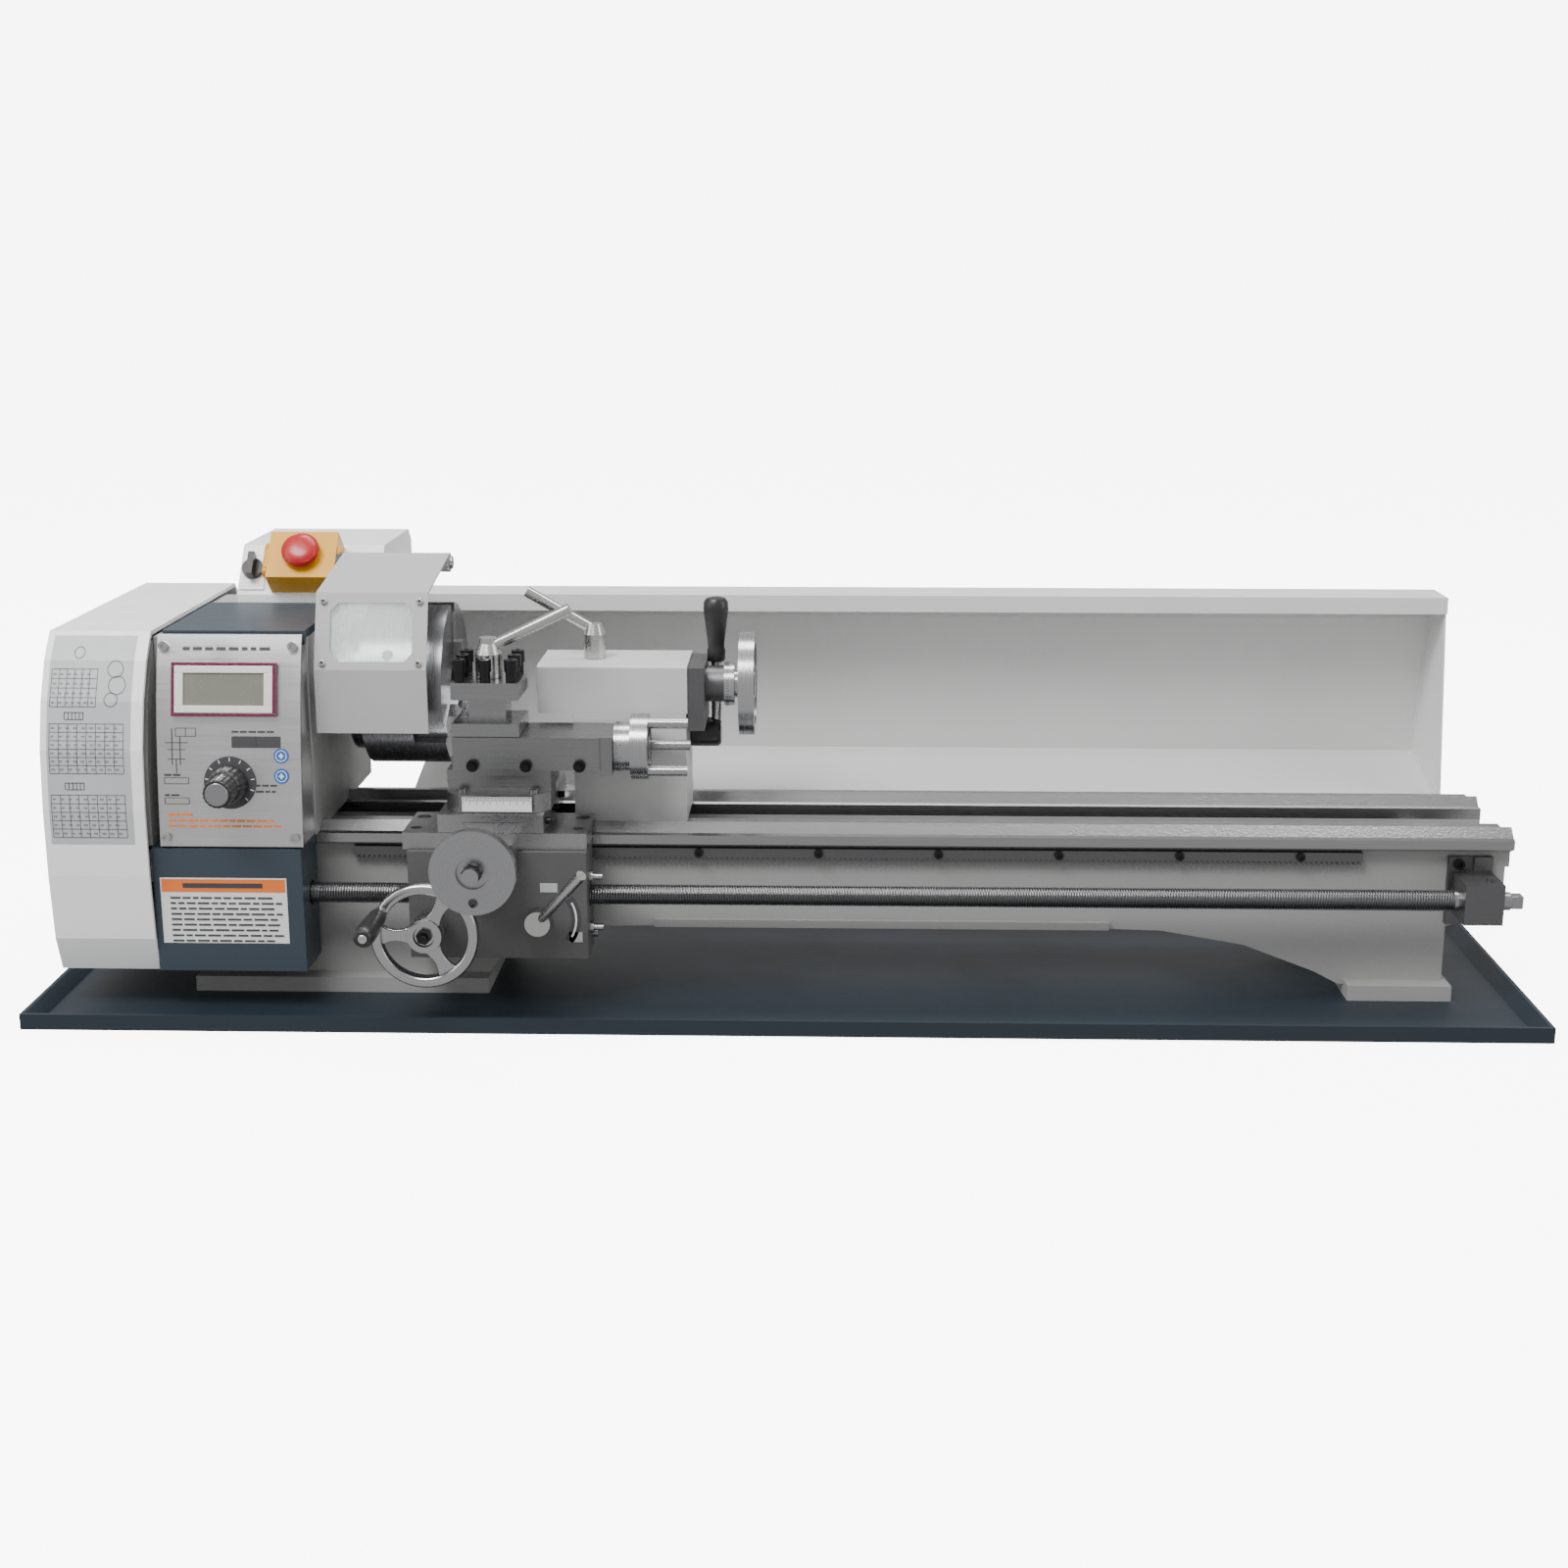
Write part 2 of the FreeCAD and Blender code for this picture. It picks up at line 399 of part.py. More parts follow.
save("saddle_keeper_plate", box(-270, -164, 61.5, 91, 100, 107.8).fuse(box(-270, -164, 61.5, 70.8, 107, 117.2)).removeSplitter())
scb = box(-240, -197, -140, -107.2, 112, 139.8).cut(box(-241, -196, -112.3, -107, 111, 127.1)).cut(cy(-141, -100, CSX, 134, 5.05))
save("cross_screw_bracket", scb)

apron = box(-280, -146, -112, -71.5, 44, 126.9).cut(box(-274, -152, -104, -70, 50, 121))
apron = apron.cut(cx(-290, -140, LS_Y, LS_Z, 9)).cut(box(-279, -228, -82, -70, 76, 128))
apron = apron.cut(cy(-113, -100, HW_X, HW_Z, 5.05)).cut(cy(-113, -100, RP_X, RP_Z, 5.05)).cut(cy(-113, -100, -182, 75, 5.05))
save("apron", apron)
save("apron_adjust_screws", group(*[fuse(cx(-145.9, -143, -96, z, 4.5), cx(-143.1, -136, -96, z, 2.5)) for z in (104, 64)] + [cx(-145.9, -142, -78, 54, 3.5)]))
def halfnut(sgn):
    b = box(-212, -168, -103.5, -82.5, LS_Z + 0.3 if sgn > 0 else LS_Z - 17, LS_Z + 17 if sgn > 0 else LS_Z - 0.3)
    b = b.cut(cx(-220, -160, LS_Y, LS_Z, LS_R + 0.35))
    b.translate(V(0, 0, 6 * sgn)); return b
save("half_nut_upper", halfnut(1))
save("half_nut_lower", halfnut(-1))
HLX, HLZ = -182.0, 75.0
hl = fuse(cy(-112.5, -104.2, HLX, HLZ, 5), cy(-126, -112.4, HLX, HLZ, 9.5), rod((HLX, -120, HLZ), (-145, -152, 121), 4))
save("half_nut_lever", hl)

# rack pinion on the intermediate shaft, and the handwheel shaft pinion
NG, NP = 36, 12
rpr = NP * MODULE / 2
dlt = (RP_X - (RX0 + 0.5 * P)) % P
php = math.pi / 2 + dlt / rpr - math.pi / NP
thg = math.atan2(HW_Z - RP_Z, HW_X - RP_X)
print("apron gear centre distance", math.hypot(HW_Z - RP_Z, HW_X - RP_X), "nominal", (NG + NP) * MODULE / 2)
rpn = fuse(gear(NP, MODULE, RP_X, RP_Z, -66.6, -60.6, php, 0.10), cy(-105, -66.5, RP_X, RP_Z, 5), gear(NG, MODULE, RP_X, RP_Z, -80, -75, thg, 0.12))
rpn = fuse(rpn, cy(-110, -104.9, RP_X, RP_Z, 5))
save("rack_pinion_shaft", rpn)
wheel = cy(-152, -141, HW_X, HW_Z, 40).cut(cy(-153, -140, HW_X, HW_Z, 32.5))
spk = []
for k in range(3):
    b = box(HW_X - 4.5, HW_X + 4.5, -147, -142, HW_Z + 8, HW_Z + 34)
    b.rotate(V(HW_X, 0, HW_Z), EY, 120 * k + 30); spk.append(b)
wheel = fuse(wheel, cy(-152, -116, HW_X, HW_Z, 12), cy(-158, -151.9, HW_X, HW_Z, 6), cy(-116.1, -75, HW_X, HW_Z, 5), gear(NP, MODULE, HW_X, HW_Z, -80, -75, thg + math.pi + math.pi / NP, 0.12), *spk)
CKA = math.atan2(16, -29)
CKX, CKZ = HW_X + 36.2 * math.cos(CKA), HW_Z + 36.2 * math.sin(CKA)
wheel = fuse(wheel, cy(-158, -151.9, CKX, CKZ, 3.2))
wheel = wheel.fuse(cy(-212, -157.9, CKX, CKZ, 3.2)).removeSplitter()
save("carriage_handwheel", wheel)
ck = fuse(cy(-211, -158.5, CKX, CKZ, 7.8)).cut(cy(-220, -150, CKX, CKZ, 3.27))
save("crank_handle", ck)

# cross slide with its screw and handwheel
cs = box(CSX - 39.5, CSX + 39.5, -107, 30, 140.3, 154)
cs = cs.cut(xz([(CSX - 15.4, 140), (CSX + 15.4, 140), (CSX + 21.5, 148.35), (CSX - 21.5, 148.35)], -110, 40))
save("cross_slide", cs)
save("cross_slide_gib_screws", group(*[cx(CSX + 39.6, CSX + 44, y, 147, 2.6) for y in (-95, -55, -15)]))
chw = fuse(cy(-193, -184, CSX, 134, 31), cy(-184.1, -160, CSX, 134, 9), cy(-160, -141, CSX, 134, 13.9), cy(-141.1, -74, CSX, 134, 5), cy(-203, -192.9, CSX, 134, 6))
chw = chw.cut(cy(-195, -190, CSX, 134, 12).cut(cy(-196, -180, CSX, 134, 6))).cut(cy(-195, -180, CSX, 112, 3.5))
save("cross_slide_handwheel", chw)
saddle = saddle.cut(cy(-110, -71, CSX, 134, 5.3))
save("saddle", saddle)

# compound: swivel base, top slide, handwheel
SWX, SWY = -213.0, -63.0
swb = fuse(cz(154.3, 168, SWX, SWY, 39), box(-252, -174, -102, -70, 154.3, 168).common(cz(150, 170, SWX, SWY, 48)))
low = box(-252, -174, -88, -38, 167.9, 184)
dvt = yz([(SWY - 13, 183.9), (SWY + 13, 183.9), (SWY + 19, 192), (SWY - 19, 192)], -250, -174)
save("swivel_base", fuse(swb, low, dvt))
save("swivel_lock_screws", group(*[screw((x, -95, 168.05), (0, 0, 1), 3.6, 3, 4) for x in (-240, -186)]))
ts = box(-247, -137, -90, -36, 184.3, 209).cut(yz([(SWY - 13.4, 184), (SWY + 13.4, 184), (SWY + 19.5, 192.35), (SWY - 19.5, 192.35)], -260, -171))
tse = box(-137, -128, -88, -38, 180, 209)
ts = fuse(ts, tse).cut(cx(-172, -120, SWY, 197, 5.05).common(box(-140, -120, -200, 0, 0, 300)))
save("top_slide", ts)
save("top_slide_gib_screws", group(*[fuse(cy(-97, -90.1, x, 188, 2.5), cy(-93.5, -90.1, x, 188, 4.5)) for x in (-232, -192, -152)]))
tw = fuse(cx(-128 + 0.4, -115, SWY, 197, 18.5), cx(-115.1, -102, SWY, 197, 9), cx(-115, -102, SWY, 197, 25).cut(cx(-110, -101, SWY, 197, 17)), cx(-139.5, -127.5, SWY, 197, 5))
for k in range(3):
    a = math.radians(90 + 120 * k + 20)
    tw = tw.fuse(cx(-102.1, -72, SWY + 20.6 * math.cos(a), 197 + 20.6 * math.sin(a), 4))
tw = tw.removeSplitter().cut(cx(-106, -100, SWY, 197, 4))
save("top_slide_handwheel", tw)

# four-way tool post
TPX, TPY, TPH = -222.0, -63.0, 25.25
tp = fuse(box(TPX - TPH, TPX + TPH, TPY - TPH, TPY + TPH, 209.3, 219), box(TPX - 14, TPX + 14, TPY - 14, TPY + 14, 218.9, 237.1), box(TPX - TPH, TPX + TPH, TPY - TPH, TPY + TPH, 237, 250))
sc = []
for i in (-1, 0, 1):
    for j in (-1, 0, 1):
        if i or j:
            x, y = TPX + 19.5 * i, TPY + 19.5 * j
            tp = tp.cut(cz(236, 251, x, y, 4.05))
            h = cz(258, 267, x, y, 5).cut(hexsock((x, y, 267.01), (0, 0, 1), 5, 5, 4.2))
            sc.append(fuse(cz(237.1, 258.1, x, y, 4), h))
save("tool_post", tp)
save("tool_post_screws", group(*sc))
tl = fuse(cz(250.3, 268, TPX, TPY, 10), cone((TPX, TPY, 268), (0, 0, 1), 10, 6.5, 8), cz(275.9, 280, TPX, TPY, 6.5), rod((TPX, TPY, 272), (-160, TPY, 302), 4.3))
save("tool_post_lever", tl)

# ================================================================ tailstock
tb = fuse(box(-163, -76, -34, 46, 130.3, 144), box(-163, -76, -34, 34, 143.9, 215.8))
tb = tb.cut(yz([(26.5, T - 1), (36, T + 7.9), (45.5, T - 1)], -170, -70)).cut(cx(-92, -70, 20, 190, 5.05))
tb = fuse(tb, box(-150, -112, -21.3, 21.3, 113, 131))
save("tailstock_base", tb)
save("tailstock_clamp_plate", box(-150, -100, -44, 44, 100, 111.6).cut(box(-151, -99, -22, 22, 111, 112)).fuse(box(-150, -112, -21, 21, 111.5, 112.9)).removeSplitter())
tbo = box(-190, -75, -34, 34, 215.9, 253).cut(cx(-191, -70, 0, AXIS_Z, 15.05))
tbo = tbo.cut(cz(247, 254, -149, 0, 5.05))
tbo = fillet(tbo, 2.0, lambda e: e.Length > 100 and abs(e.CenterOfMass.z - 253) < 0.5)
save("tailstock_body", tbo)
tep = fuse(box(-74.9, -62, -32, 32, 202, 251), cx(-62.1, -48, 0, AXIS_Z, 14)).cut(cx(-80, -40, 0, AXIS_Z, 6.05))
save("tailstock_end_plate", tep)
q = cx(-193, -96, 0, AXIS_Z, 15).cut(cone((-193.1, 0, AXIS_Z), (1, 0, 0), 9, 7.4, 34)).cut(cx(-150, -90, 0, AXIS_Z, 8))
save("quill", q)
th = fuse(cx(-47.7, -40, 0, AXIS_Z, 17), cx(-40.1, -24, 0, AXIS_Z, 11), cx(-36, -24, 0, AXIS_Z, 40).cut(cx(-37, -23, 0, AXIS_Z, 32)), cx(-33, -28, 0, AXIS_Z, 33), cx(-140, -47.6, 0, AXIS_Z, 6))
for k in range(3):
    a = math.radians(30 + 120 * k)
    th = th.cut(cx(-40, -20, 21.5 * math.cos(a), AXIS_Z + 21.5 * math.sin(a), 7.5))
save("tailstock_handwheel", th)
ql = fuse(cz(253.3, 272, -149, 0, 8.5), cone((-149, 0, 272), (0, 0, 1), 8.5, 5.5, 8), cz(248.5, 253.4, -149, 0, 5), rod((-149, 0, 275), (-201, 0, 305), 4.3))
save("quill_lock_lever", ql)
tc = fuse(cx(-75.6, -52, 20, 190, 11.5), cx(-89, -75.5, 20, 190, 5), rod((-55.5, 20, 195), (-55.5, 20, 250), 4))
tc = fuse(tc, cone((-55.5, 20, 249), (0, 0, 1), 6, 10, 42), cone((-55.5, 20, 291), (0, 0, 1), 10, 6, 7))
save("tailstock_clamp_lever", tc)

# ================================================================ nodes
# small fixed pieces share a node with the piece they are fastened to, as separate solids
GROUPS = {
    "bed_screws": ["rack_screws", "bracket_screws"],
    "rear_splash_guard": ["rear_splash_guard", "splash_guard_brackets"],
    "display_module": ["display_bezel", "display_window"],
    "control_panel": ["control_panel", "panel_frame"],
    "electrical_box": ["electrical_box", "switch_plate", "power_inlet"],
    "guard_window": ["guard_window", "guard_screws"],
    "saddle": ["saddle", "saddle_keeper_plate", "cross_screw_bracket"],
    "apron": ["apron", "apron_adjust_screws"],
    "cross_slide": ["cross_slide", "cross_slide_gib_screws"],
    "swivel_base": ["swivel_base", "swivel_lock_screws"],
    "top_slide": ["top_slide", "top_slide_gib_screws"],
    "tailstock_base": ["tailstock_base", "tailstock_clamp_plate"],
    "gear_end_plate": ["gear_end_plate", "idler_studs"],
    "spindle_drive_wheels": ["spindle_pulley", "spindle_gear"],
    "leadscrew": ["leadscrew", "leadscrew_gear"],
    "headstock_casting": ["headstock_casting", "spindle_bearings"],
}
NODES = {}
used = set()
for name, members in GROUPS.items():
    solids = []
    for m in members:
        solids += PIECES[m].Solids
        used.add(m)
    NODES[name] = Part.makeCompound(solids)
for name, s in PIECES.items():
    if name not in used:
        NODES[name] = s
for name, s in NODES.items():
    s.exportStep("parts/" + name + ".step")
print(len(NODES), "nodes")
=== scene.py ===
import bpy, bmesh, math, random
import numpy as np
from mathutils import Vector, Matrix, Euler

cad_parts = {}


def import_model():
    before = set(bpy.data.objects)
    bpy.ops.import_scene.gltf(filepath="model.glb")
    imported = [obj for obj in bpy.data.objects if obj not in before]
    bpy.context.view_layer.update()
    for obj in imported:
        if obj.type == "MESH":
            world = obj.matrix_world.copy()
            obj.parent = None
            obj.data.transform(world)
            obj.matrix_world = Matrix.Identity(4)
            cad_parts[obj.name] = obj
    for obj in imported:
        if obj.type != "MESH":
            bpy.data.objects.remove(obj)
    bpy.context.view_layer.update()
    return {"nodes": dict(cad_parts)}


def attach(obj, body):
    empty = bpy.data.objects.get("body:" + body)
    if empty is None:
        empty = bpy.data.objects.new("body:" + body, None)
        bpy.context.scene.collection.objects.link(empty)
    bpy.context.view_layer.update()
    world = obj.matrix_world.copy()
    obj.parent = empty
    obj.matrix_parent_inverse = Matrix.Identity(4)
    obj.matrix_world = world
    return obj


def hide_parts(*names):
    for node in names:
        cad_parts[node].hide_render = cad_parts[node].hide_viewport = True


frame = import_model()
random.seed(7)
mm = 0.001
AX = 0.233


# ------------------------------------------------------------------ materials
def newmat(name):
    m = bpy.data.materials.new(name)
    m.use_nodes = True
    nt = m.node_tree
    b = nt.nodes["Principled BSDF"]
    return m, nt, b


def coords(nt, scale):
    tc = nt.nodes.new("ShaderNodeTexCoord")
    mp = nt.nodes.new("ShaderNodeMapping")
    mp.inputs["Scale"].default_value = scale
    nt.links.new(tc.outputs["Object"], mp.inputs["Vector"])
    return mp.outputs["Vector"]


def noise(nt, scale, detail=3, rough=0.5, vec=(1, 1, 1)):
    n = nt.nodes.new("ShaderNodeTexNoise")
    n.inputs["Scale"].default_value = scale
    n.inputs["Detail"].default_value = detail
    n.inputs["Roughness"].default_value = rough
    nt.links.new(coords(nt, vec), n.inputs["Vector"])
    return n.outputs["Fac"]


def ramp(nt, fac, a, b, lo=0.3, hi=0.7):
    r = nt.nodes.new("ShaderNodeMapRange")
    r.inputs["From Min"].default_value = lo
    r.inputs["From Max"].default_value = hi
    r.inputs["To Min"].default_value = a
    r.inputs["To Max"].default_value = b
    nt.links.new(fac, r.inputs["Value"])
    return r.outputs["Result"]


def mixc(nt, fac, a, b):
    m = nt.nodes.new("ShaderNodeMix")
    m.data_type = "RGBA"
    m.inputs[6].default_value = (*a, 1)
    m.inputs[7].default_value = (*b, 1)
    nt.links.new(fac, m.inputs[0])
    return m.outputs[2]


def bump(nt, b, h, strength, dist):
    n = nt.nodes.new("ShaderNodeBump")
    n.inputs["Strength"].default_value = strength
    n.inputs["Distance"].default_value = dist
    nt.links.new(h, n.inputs["Height"])
    nt.links.new(n.outputs["Normal"], b.inputs["Normal"])


def mul(c, k):
    return tuple(min(1.0, x * k) for x in c)


def paint(name, c, rough=0.42, peel=700, vary=0.06, strength=0.12, rv=1.0):
    m, nt, b = newmat(name)
    big = noise(nt, 9, 4)
    nt.links.new(mixc(nt, big, mul(c, 1 - vary), mul(c, 1 + vary)), b.inputs["Base Color"])
    fine = noise(nt, peel, 2)
    nt.links.new(ramp(nt, noise(nt, 60, 4), rough - 0.06 * rv, rough + 0.08 * rv), b.inputs["Roughness"])
    bump(nt, b, fine, strength, 0.0004)
    return m


def metal(name, c, rough=0.3, along="x", grain=900, vary=0.12, strength=0.1, stretch=60):
    m, nt, b = newmat(name)
    b.inputs["Metallic"].default_value = 1.0
    v = {"x": (1 / stretch, 1, 1), "y": (1, 1 / stretch, 1), "z": (1, 1, 1 / stretch), "n": (1, 1, 1)}[along]
    g = noise(nt, grain, 3, 0.6, v)
    nt.links.new(mixc(nt, g, mul(c, 1 - vary), mul(c, 1 + vary)), b.inputs["Base Color"])
    s = nt.nodes.new("ShaderNodeMath")
    s.operation = "ADD"
    nt.links.new(ramp(nt, g, rough - 0.07, rough + 0.07), s.inputs[0])
    nt.links.new(ramp(nt, noise(nt, 30, 4), -0.03, 0.05), s.inputs[1])
    nt.links.new(s.outputs[0], b.inputs["Roughness"])
    bump(nt, b, g, strength, 0.0002)
    return m


def turned(name, c, axis, centre, rough=0.28, pitch=0.0006, strength=0.12):
    # concentric turning marks about an axis
    m, nt, b = newmat(name)
    b.inputs["Metallic"].default_value = 1.0
    tc = nt.nodes.new("ShaderNodeTexCoord")
    mp = nt.nodes.new("ShaderNodeMapping")
    mp.inputs["Location"].default_value = tuple(-x for x in centre)
    nt.links.new(tc.outputs["Object"], mp.inputs["Vector"])
    sc = nt.nodes.new("ShaderNodeVectorMath")
    sc.operation = "MULTIPLY"
    k = {"x": (0, 1, 1), "y": (1, 0, 1), "z": (1, 1, 0)}[axis]
    sc.inputs[1].default_value = k
    nt.links.new(mp.outputs["Vector"], sc.inputs[0])
    ln = nt.nodes.new("ShaderNodeVectorMath")
    ln.operation = "LENGTH"
    nt.links.new(sc.outputs["Vector"], ln.inputs[0])
    n = nt.nodes.new("ShaderNodeTexNoise")
    n.noise_dimensions = "1D"
    n.inputs["Scale"].default_value = 1 / pitch
    n.inputs["Detail"].default_value = 2
    ax_ = nt.nodes.new("ShaderNodeVectorMath")
    ax_.operation = "DOT_PRODUCT"
    ax_.inputs[1].default_value = tuple(1 - x for x in k)
    nt.links.new(mp.outputs["Vector"], ax_.inputs[0])
    sm = nt.nodes.new("ShaderNodeMath")
    sm.operation = "ADD"
    nt.links.new(ln.outputs["Value"], sm.inputs[0])
    nt.links.new(ax_.outputs["Value"], sm.inputs[1])
    nt.links.new(sm.outputs[0], n.inputs["W"])
    f = n.outputs["Fac"]
    nt.links.new(mixc(nt, f, mul(c, 0.82), mul(c, 1.12)), b.inputs["Base Color"])
    nt.links.new(ramp(nt, f, rough - 0.06, rough + 0.1), b.inputs["Roughness"])
    bump(nt, b, f, strength, 0.0002)
    return m


def plastic(name, c, rough=0.38, coat=0.0):
    m, nt, b = newmat(name)
    n = noise(nt, 45, 4)
    nt.links.new(mixc(nt, n, mul(c, 0.92), mul(c, 1.06)), b.inputs["Base Color"])
    nt.links.new(ramp(nt, noise(nt, 220, 3), rough - 0.05, rough + 0.08), b.inputs["Roughness"])
    b.inputs["Coat Weight"].default_value = coat
    bump(nt, b, noise(nt, 1500, 2), 0.08, 0.0002)
    return m


M = {}
M["tray"] = paint("tray_slate", (0.012, 0.021, 0.031), 0.46, 600, 0.03, 0.06, 0.12)
M["bed"] = paint("bed_grey", (0.35, 0.35, 0.345), 0.5, 420, 0.06, 0.25)
M["ways"] = metal("ground_ways", (0.36, 0.36, 0.365), 0.24, "x", 1100)
M["splash"] = paint("splash_grey", (0.72, 0.72, 0.715), 0.42, 800, 0.05)
M["iron"] = metal("dark_iron", (0.16, 0.16, 0.165), 0.42, "n", 500)
M["slate"] = paint("slate_cover", (0.032, 0.046, 0.062), 0.42, 650, 0.03, 0.1, 0.2)
M["panel"] = metal("brushed_panel", (0.66, 0.66, 0.66), 0.34, "x", 1600, 0.1, 0.06, 120)
M["zinc"] = metal("plated_screws", (0.55, 0.55, 0.54), 0.25, "n", 900)
M["white"] = paint("white_enamel", (0.89, 0.895, 0.90), 0.38, 750, 0.025, 0.08)
M["yellow"] = plastic("yellow_moulded", (0.70, 0.33, 0.0), 0.38, 0.1)
M["red"] = plastic("red_moulded", (0.42, 0.006, 0.010), 0.34, 0.15)
M["green"] = plastic("green_moulded", (0.02, 0.3, 0.08), 0.3, 0.2)
M["black"] = plastic("black_moulded", (0.016, 0.016, 0.017), 0.36, 0.1)
M["belt"] = plastic("belt_rubber", (0.02, 0.02, 0.02), 0.7)
M["guard"] = paint("guard_grey", (0.43, 0.43, 0.43), 0.45, 800, 0.05)
M["ground"] = metal("ground_slide", (0.27, 0.27, 0.275), 0.3, "x", 1000, 0.12)
M["ground_y"] = metal("ground_cross", (0.38, 0.38, 0.385), 0.32, "y", 1000, 0.12)
M["post"] = metal("ground_post", (0.32, 0.32, 0.325), 0.26, "x", 1300, 0.12)
M["apron"] = paint("apron_grey", (0.085, 0.085, 0.085), 0.45, 420, 0.08, 0.25)
M["steel"] = metal("machined_steel", (0.37, 0.37, 0.38), 0.27, "n", 900)
M["screwst"] = metal("screw_steel", (0.2, 0.2, 0.205), 0.3, "n", 900)
M["blackox"] = metal("black_oxide", (0.035, 0.035, 0.037), 0.38, "n", 800)
M["chuck"] = turned("turned_chuck", (0.26, 0.26, 0.27), "x", (0, 0, AX), 0.3)
M["wheelc"] = turned("turned_carriage_wheel", (0.5, 0.5, 0.51), "y", (-0.262, 0, 0.073), 0.2)
M["wheelx"] = turned("turned_cross_wheel", (0.40, 0.40, 0.41), "y", (-0.2175, 0, 0.134), 0.27)
M["wheelt"] = turned("turned_tail_wheel", (0.5, 0.5, 0.51), "x", (0, 0, AX), 0.22)
M["wheels"] = turned("turned_top_wheel", (0.46, 0.46, 0.47), "x", (0, -0.063, 0.197), 0.24)
M["tail"] = paint("tailstock_grey", (0.56, 0.56, 0.555), 0.42, 420, 0.04, 0.15)
M["bronze"] = metal("bronze", (0.5, 0.33, 0.14), 0.35, "n", 700)
M["ink"] = plastic("print_dark", (0.05, 0.05, 0.055), 0.5)
M["inkgrey"] = plastic("print_grey", (0.22, 0.22, 0.23), 0.5)
M["sticker"] = plastic("sticker_grey", (0.46, 0.47, 0.48), 0.4)
M["labelwhite"] = plastic("label_white", (0.78, 0.78, 0.77), 0.42)
M["orange"] = plastic("label_orange", (0.80, 0.19, 0.03), 0.4)
M["blue"] = plastic("round_blue", (0.02, 0.12, 0.42), 0.4)
M["magenta"] = plastic("bezel_magenta", (0.13, 0.012, 0.045), 0.25, 0.4)
M["bezelw"] = plastic("bezel_white", (0.78, 0.77, 0.75), 0.3, 0.3)
M["lcd"] = plastic("lcd_grey", (0.19, 0.19, 0.155), 0.22, 0.5)

g, nt, b = newmat("clear_pane")
b.inputs["Base Color"].default_value = (0.86, 0.88, 0.88, 1)
b.inputs["Transmission Weight"].default_value = 0.8
b.inputs["IOR"].default_value = 1.12
nt.links.new(ramp(nt, noise(nt, 70, 4), 0.02, 0.09), b.inputs["Roughness"])
bump(nt, b, noise(nt, 12, 2), 0.05, 0.0003)
M["clear"] = g

NODE_MAT = {
    "chip_tray": "tray", "bed_casting": "bed", "feed_rack": "iron", "bed_screws": "blackox", "rear_splash_guard": "splash",
    "leadscrew_bracket": "iron", "headstock_casting": "bed", "headstock_top_cover": "slate", "headstock_lower_cover": "slate",
    "control_panel": "panel", "panel_screws": "zinc", "gear_cover": "white", "gear_end_plate": "bed", "electrical_box": "white",
    "stop_switch_base": "yellow", "drive_motor": "iron", "drive_belt": "belt", "guard_hinge_rod": "steel", "spindle": "chuck",
    "spindle_drive_wheels": "steel", "chuck_body": "chuck", "chuck_jaw_1": "steel", "chuck_jaw_2": "steel", "chuck_jaw_3": "steel",
    "motor_shaft_pulley": "steel", "idler_gear_upper": "steel", "idler_gear_lower": "steel", "chuck_guard": "guard",
    "direction_knob": "black", "stop_switch_lid": "yellow", "start_button": "green", "stop_button": "red", "saddle": "ground_y",
    "apron": "apron", "rack_pinion_shaft": "steel", "half_nut_lever": "zinc", "half_nut_upper": "bronze", "half_nut_lower": "bronze",
    "cross_slide": "ground_y", "cross_slide_handwheel": "wheelx", "swivel_base": "ground", "top_slide": "ground",
    "top_slide_handwheel": "wheels", "tool_post": "post", "tool_post_screws": "blackox", "tool_post_lever": "zinc",
    "tailstock_base": "tail", "tailstock_body": "tail", "tailstock_end_plate": "iron", "quill": "steel",
    "tailstock_handwheel": "wheelt", "quill_lock_lever": "zinc", "guard_window": "clear",
}
SHARP = {"rear_splash_guard", "feed_rack", "bed_screws", "drive_belt", "spindle_drive_wheels", "idler_gear_upper", "idler_gear_lower", "rack_pinion_shaft", "control_panel", "guard_window", "display_module", "panel_screws"}


def above(base, top, axis, edge, sign=1):
    # one material on one side of a level, another on the other side
    m = M[base].copy()
    nt = m.node_tree
    b = nt.nodes["Principled BSDF"]
    src = M[top].node_tree.nodes["Principled BSDF"]
    tc = nt.nodes.new("ShaderNodeTexCoord")
    sp = nt.nodes.new("ShaderNodeSeparateXYZ")
    nt.links.new(tc.outputs["Object"], sp.inputs[0])
    g = nt.nodes.new("ShaderNodeMath")
    g.operation = "GREATER_THAN" if sign > 0 else "LESS_THAN"
    g.inputs[1].default_value = edge
    nt.links.new(sp.outputs[axis], g.inputs[0])
    met = src.inputs["Metallic"].default_value
    colr, rough = {"ways": ((0.36, 0.36, 0.365), 0.26), "blackox": ((0.03, 0.03, 0.032), 0.4), "zinc": ((0.5, 0.5, 0.49), 0.28)}[top]
    for nm, val in (("Base Color", (*colr, 1)), ("Roughness", rough), ("Metallic", met)):
        old = b.inputs[nm].links[0].from_socket if b.inputs[nm].links else None
        mx = nt.nodes.new("ShaderNodeMix")
        if nm == "Base Color":
            mx.data_type = "RGBA"; ia, ib, io = 6, 7, 2
        else:
            mx.data_type = "FLOAT"; ia, ib, io = 2, 3, 0
        if old:
            nt.links.new(old, mx.inputs[ia])
        else:
            mx.inputs[ia].default_value = b.inputs[nm].default_value
        if nm == "Base Color":
            nt.links.new(mixc(nt, noise(nt, 900, 3, 0.6, (1 / 60, 1, 1)), mul(colr, 0.88), mul(colr, 1.12)), mx.inputs[ib])
        else:
            mx.inputs[ib].default_value = val
        nt.links.new(g.outputs[0], mx.inputs[0])
        nt.links.new(mx.outputs[io], b.inputs[nm])
    return m


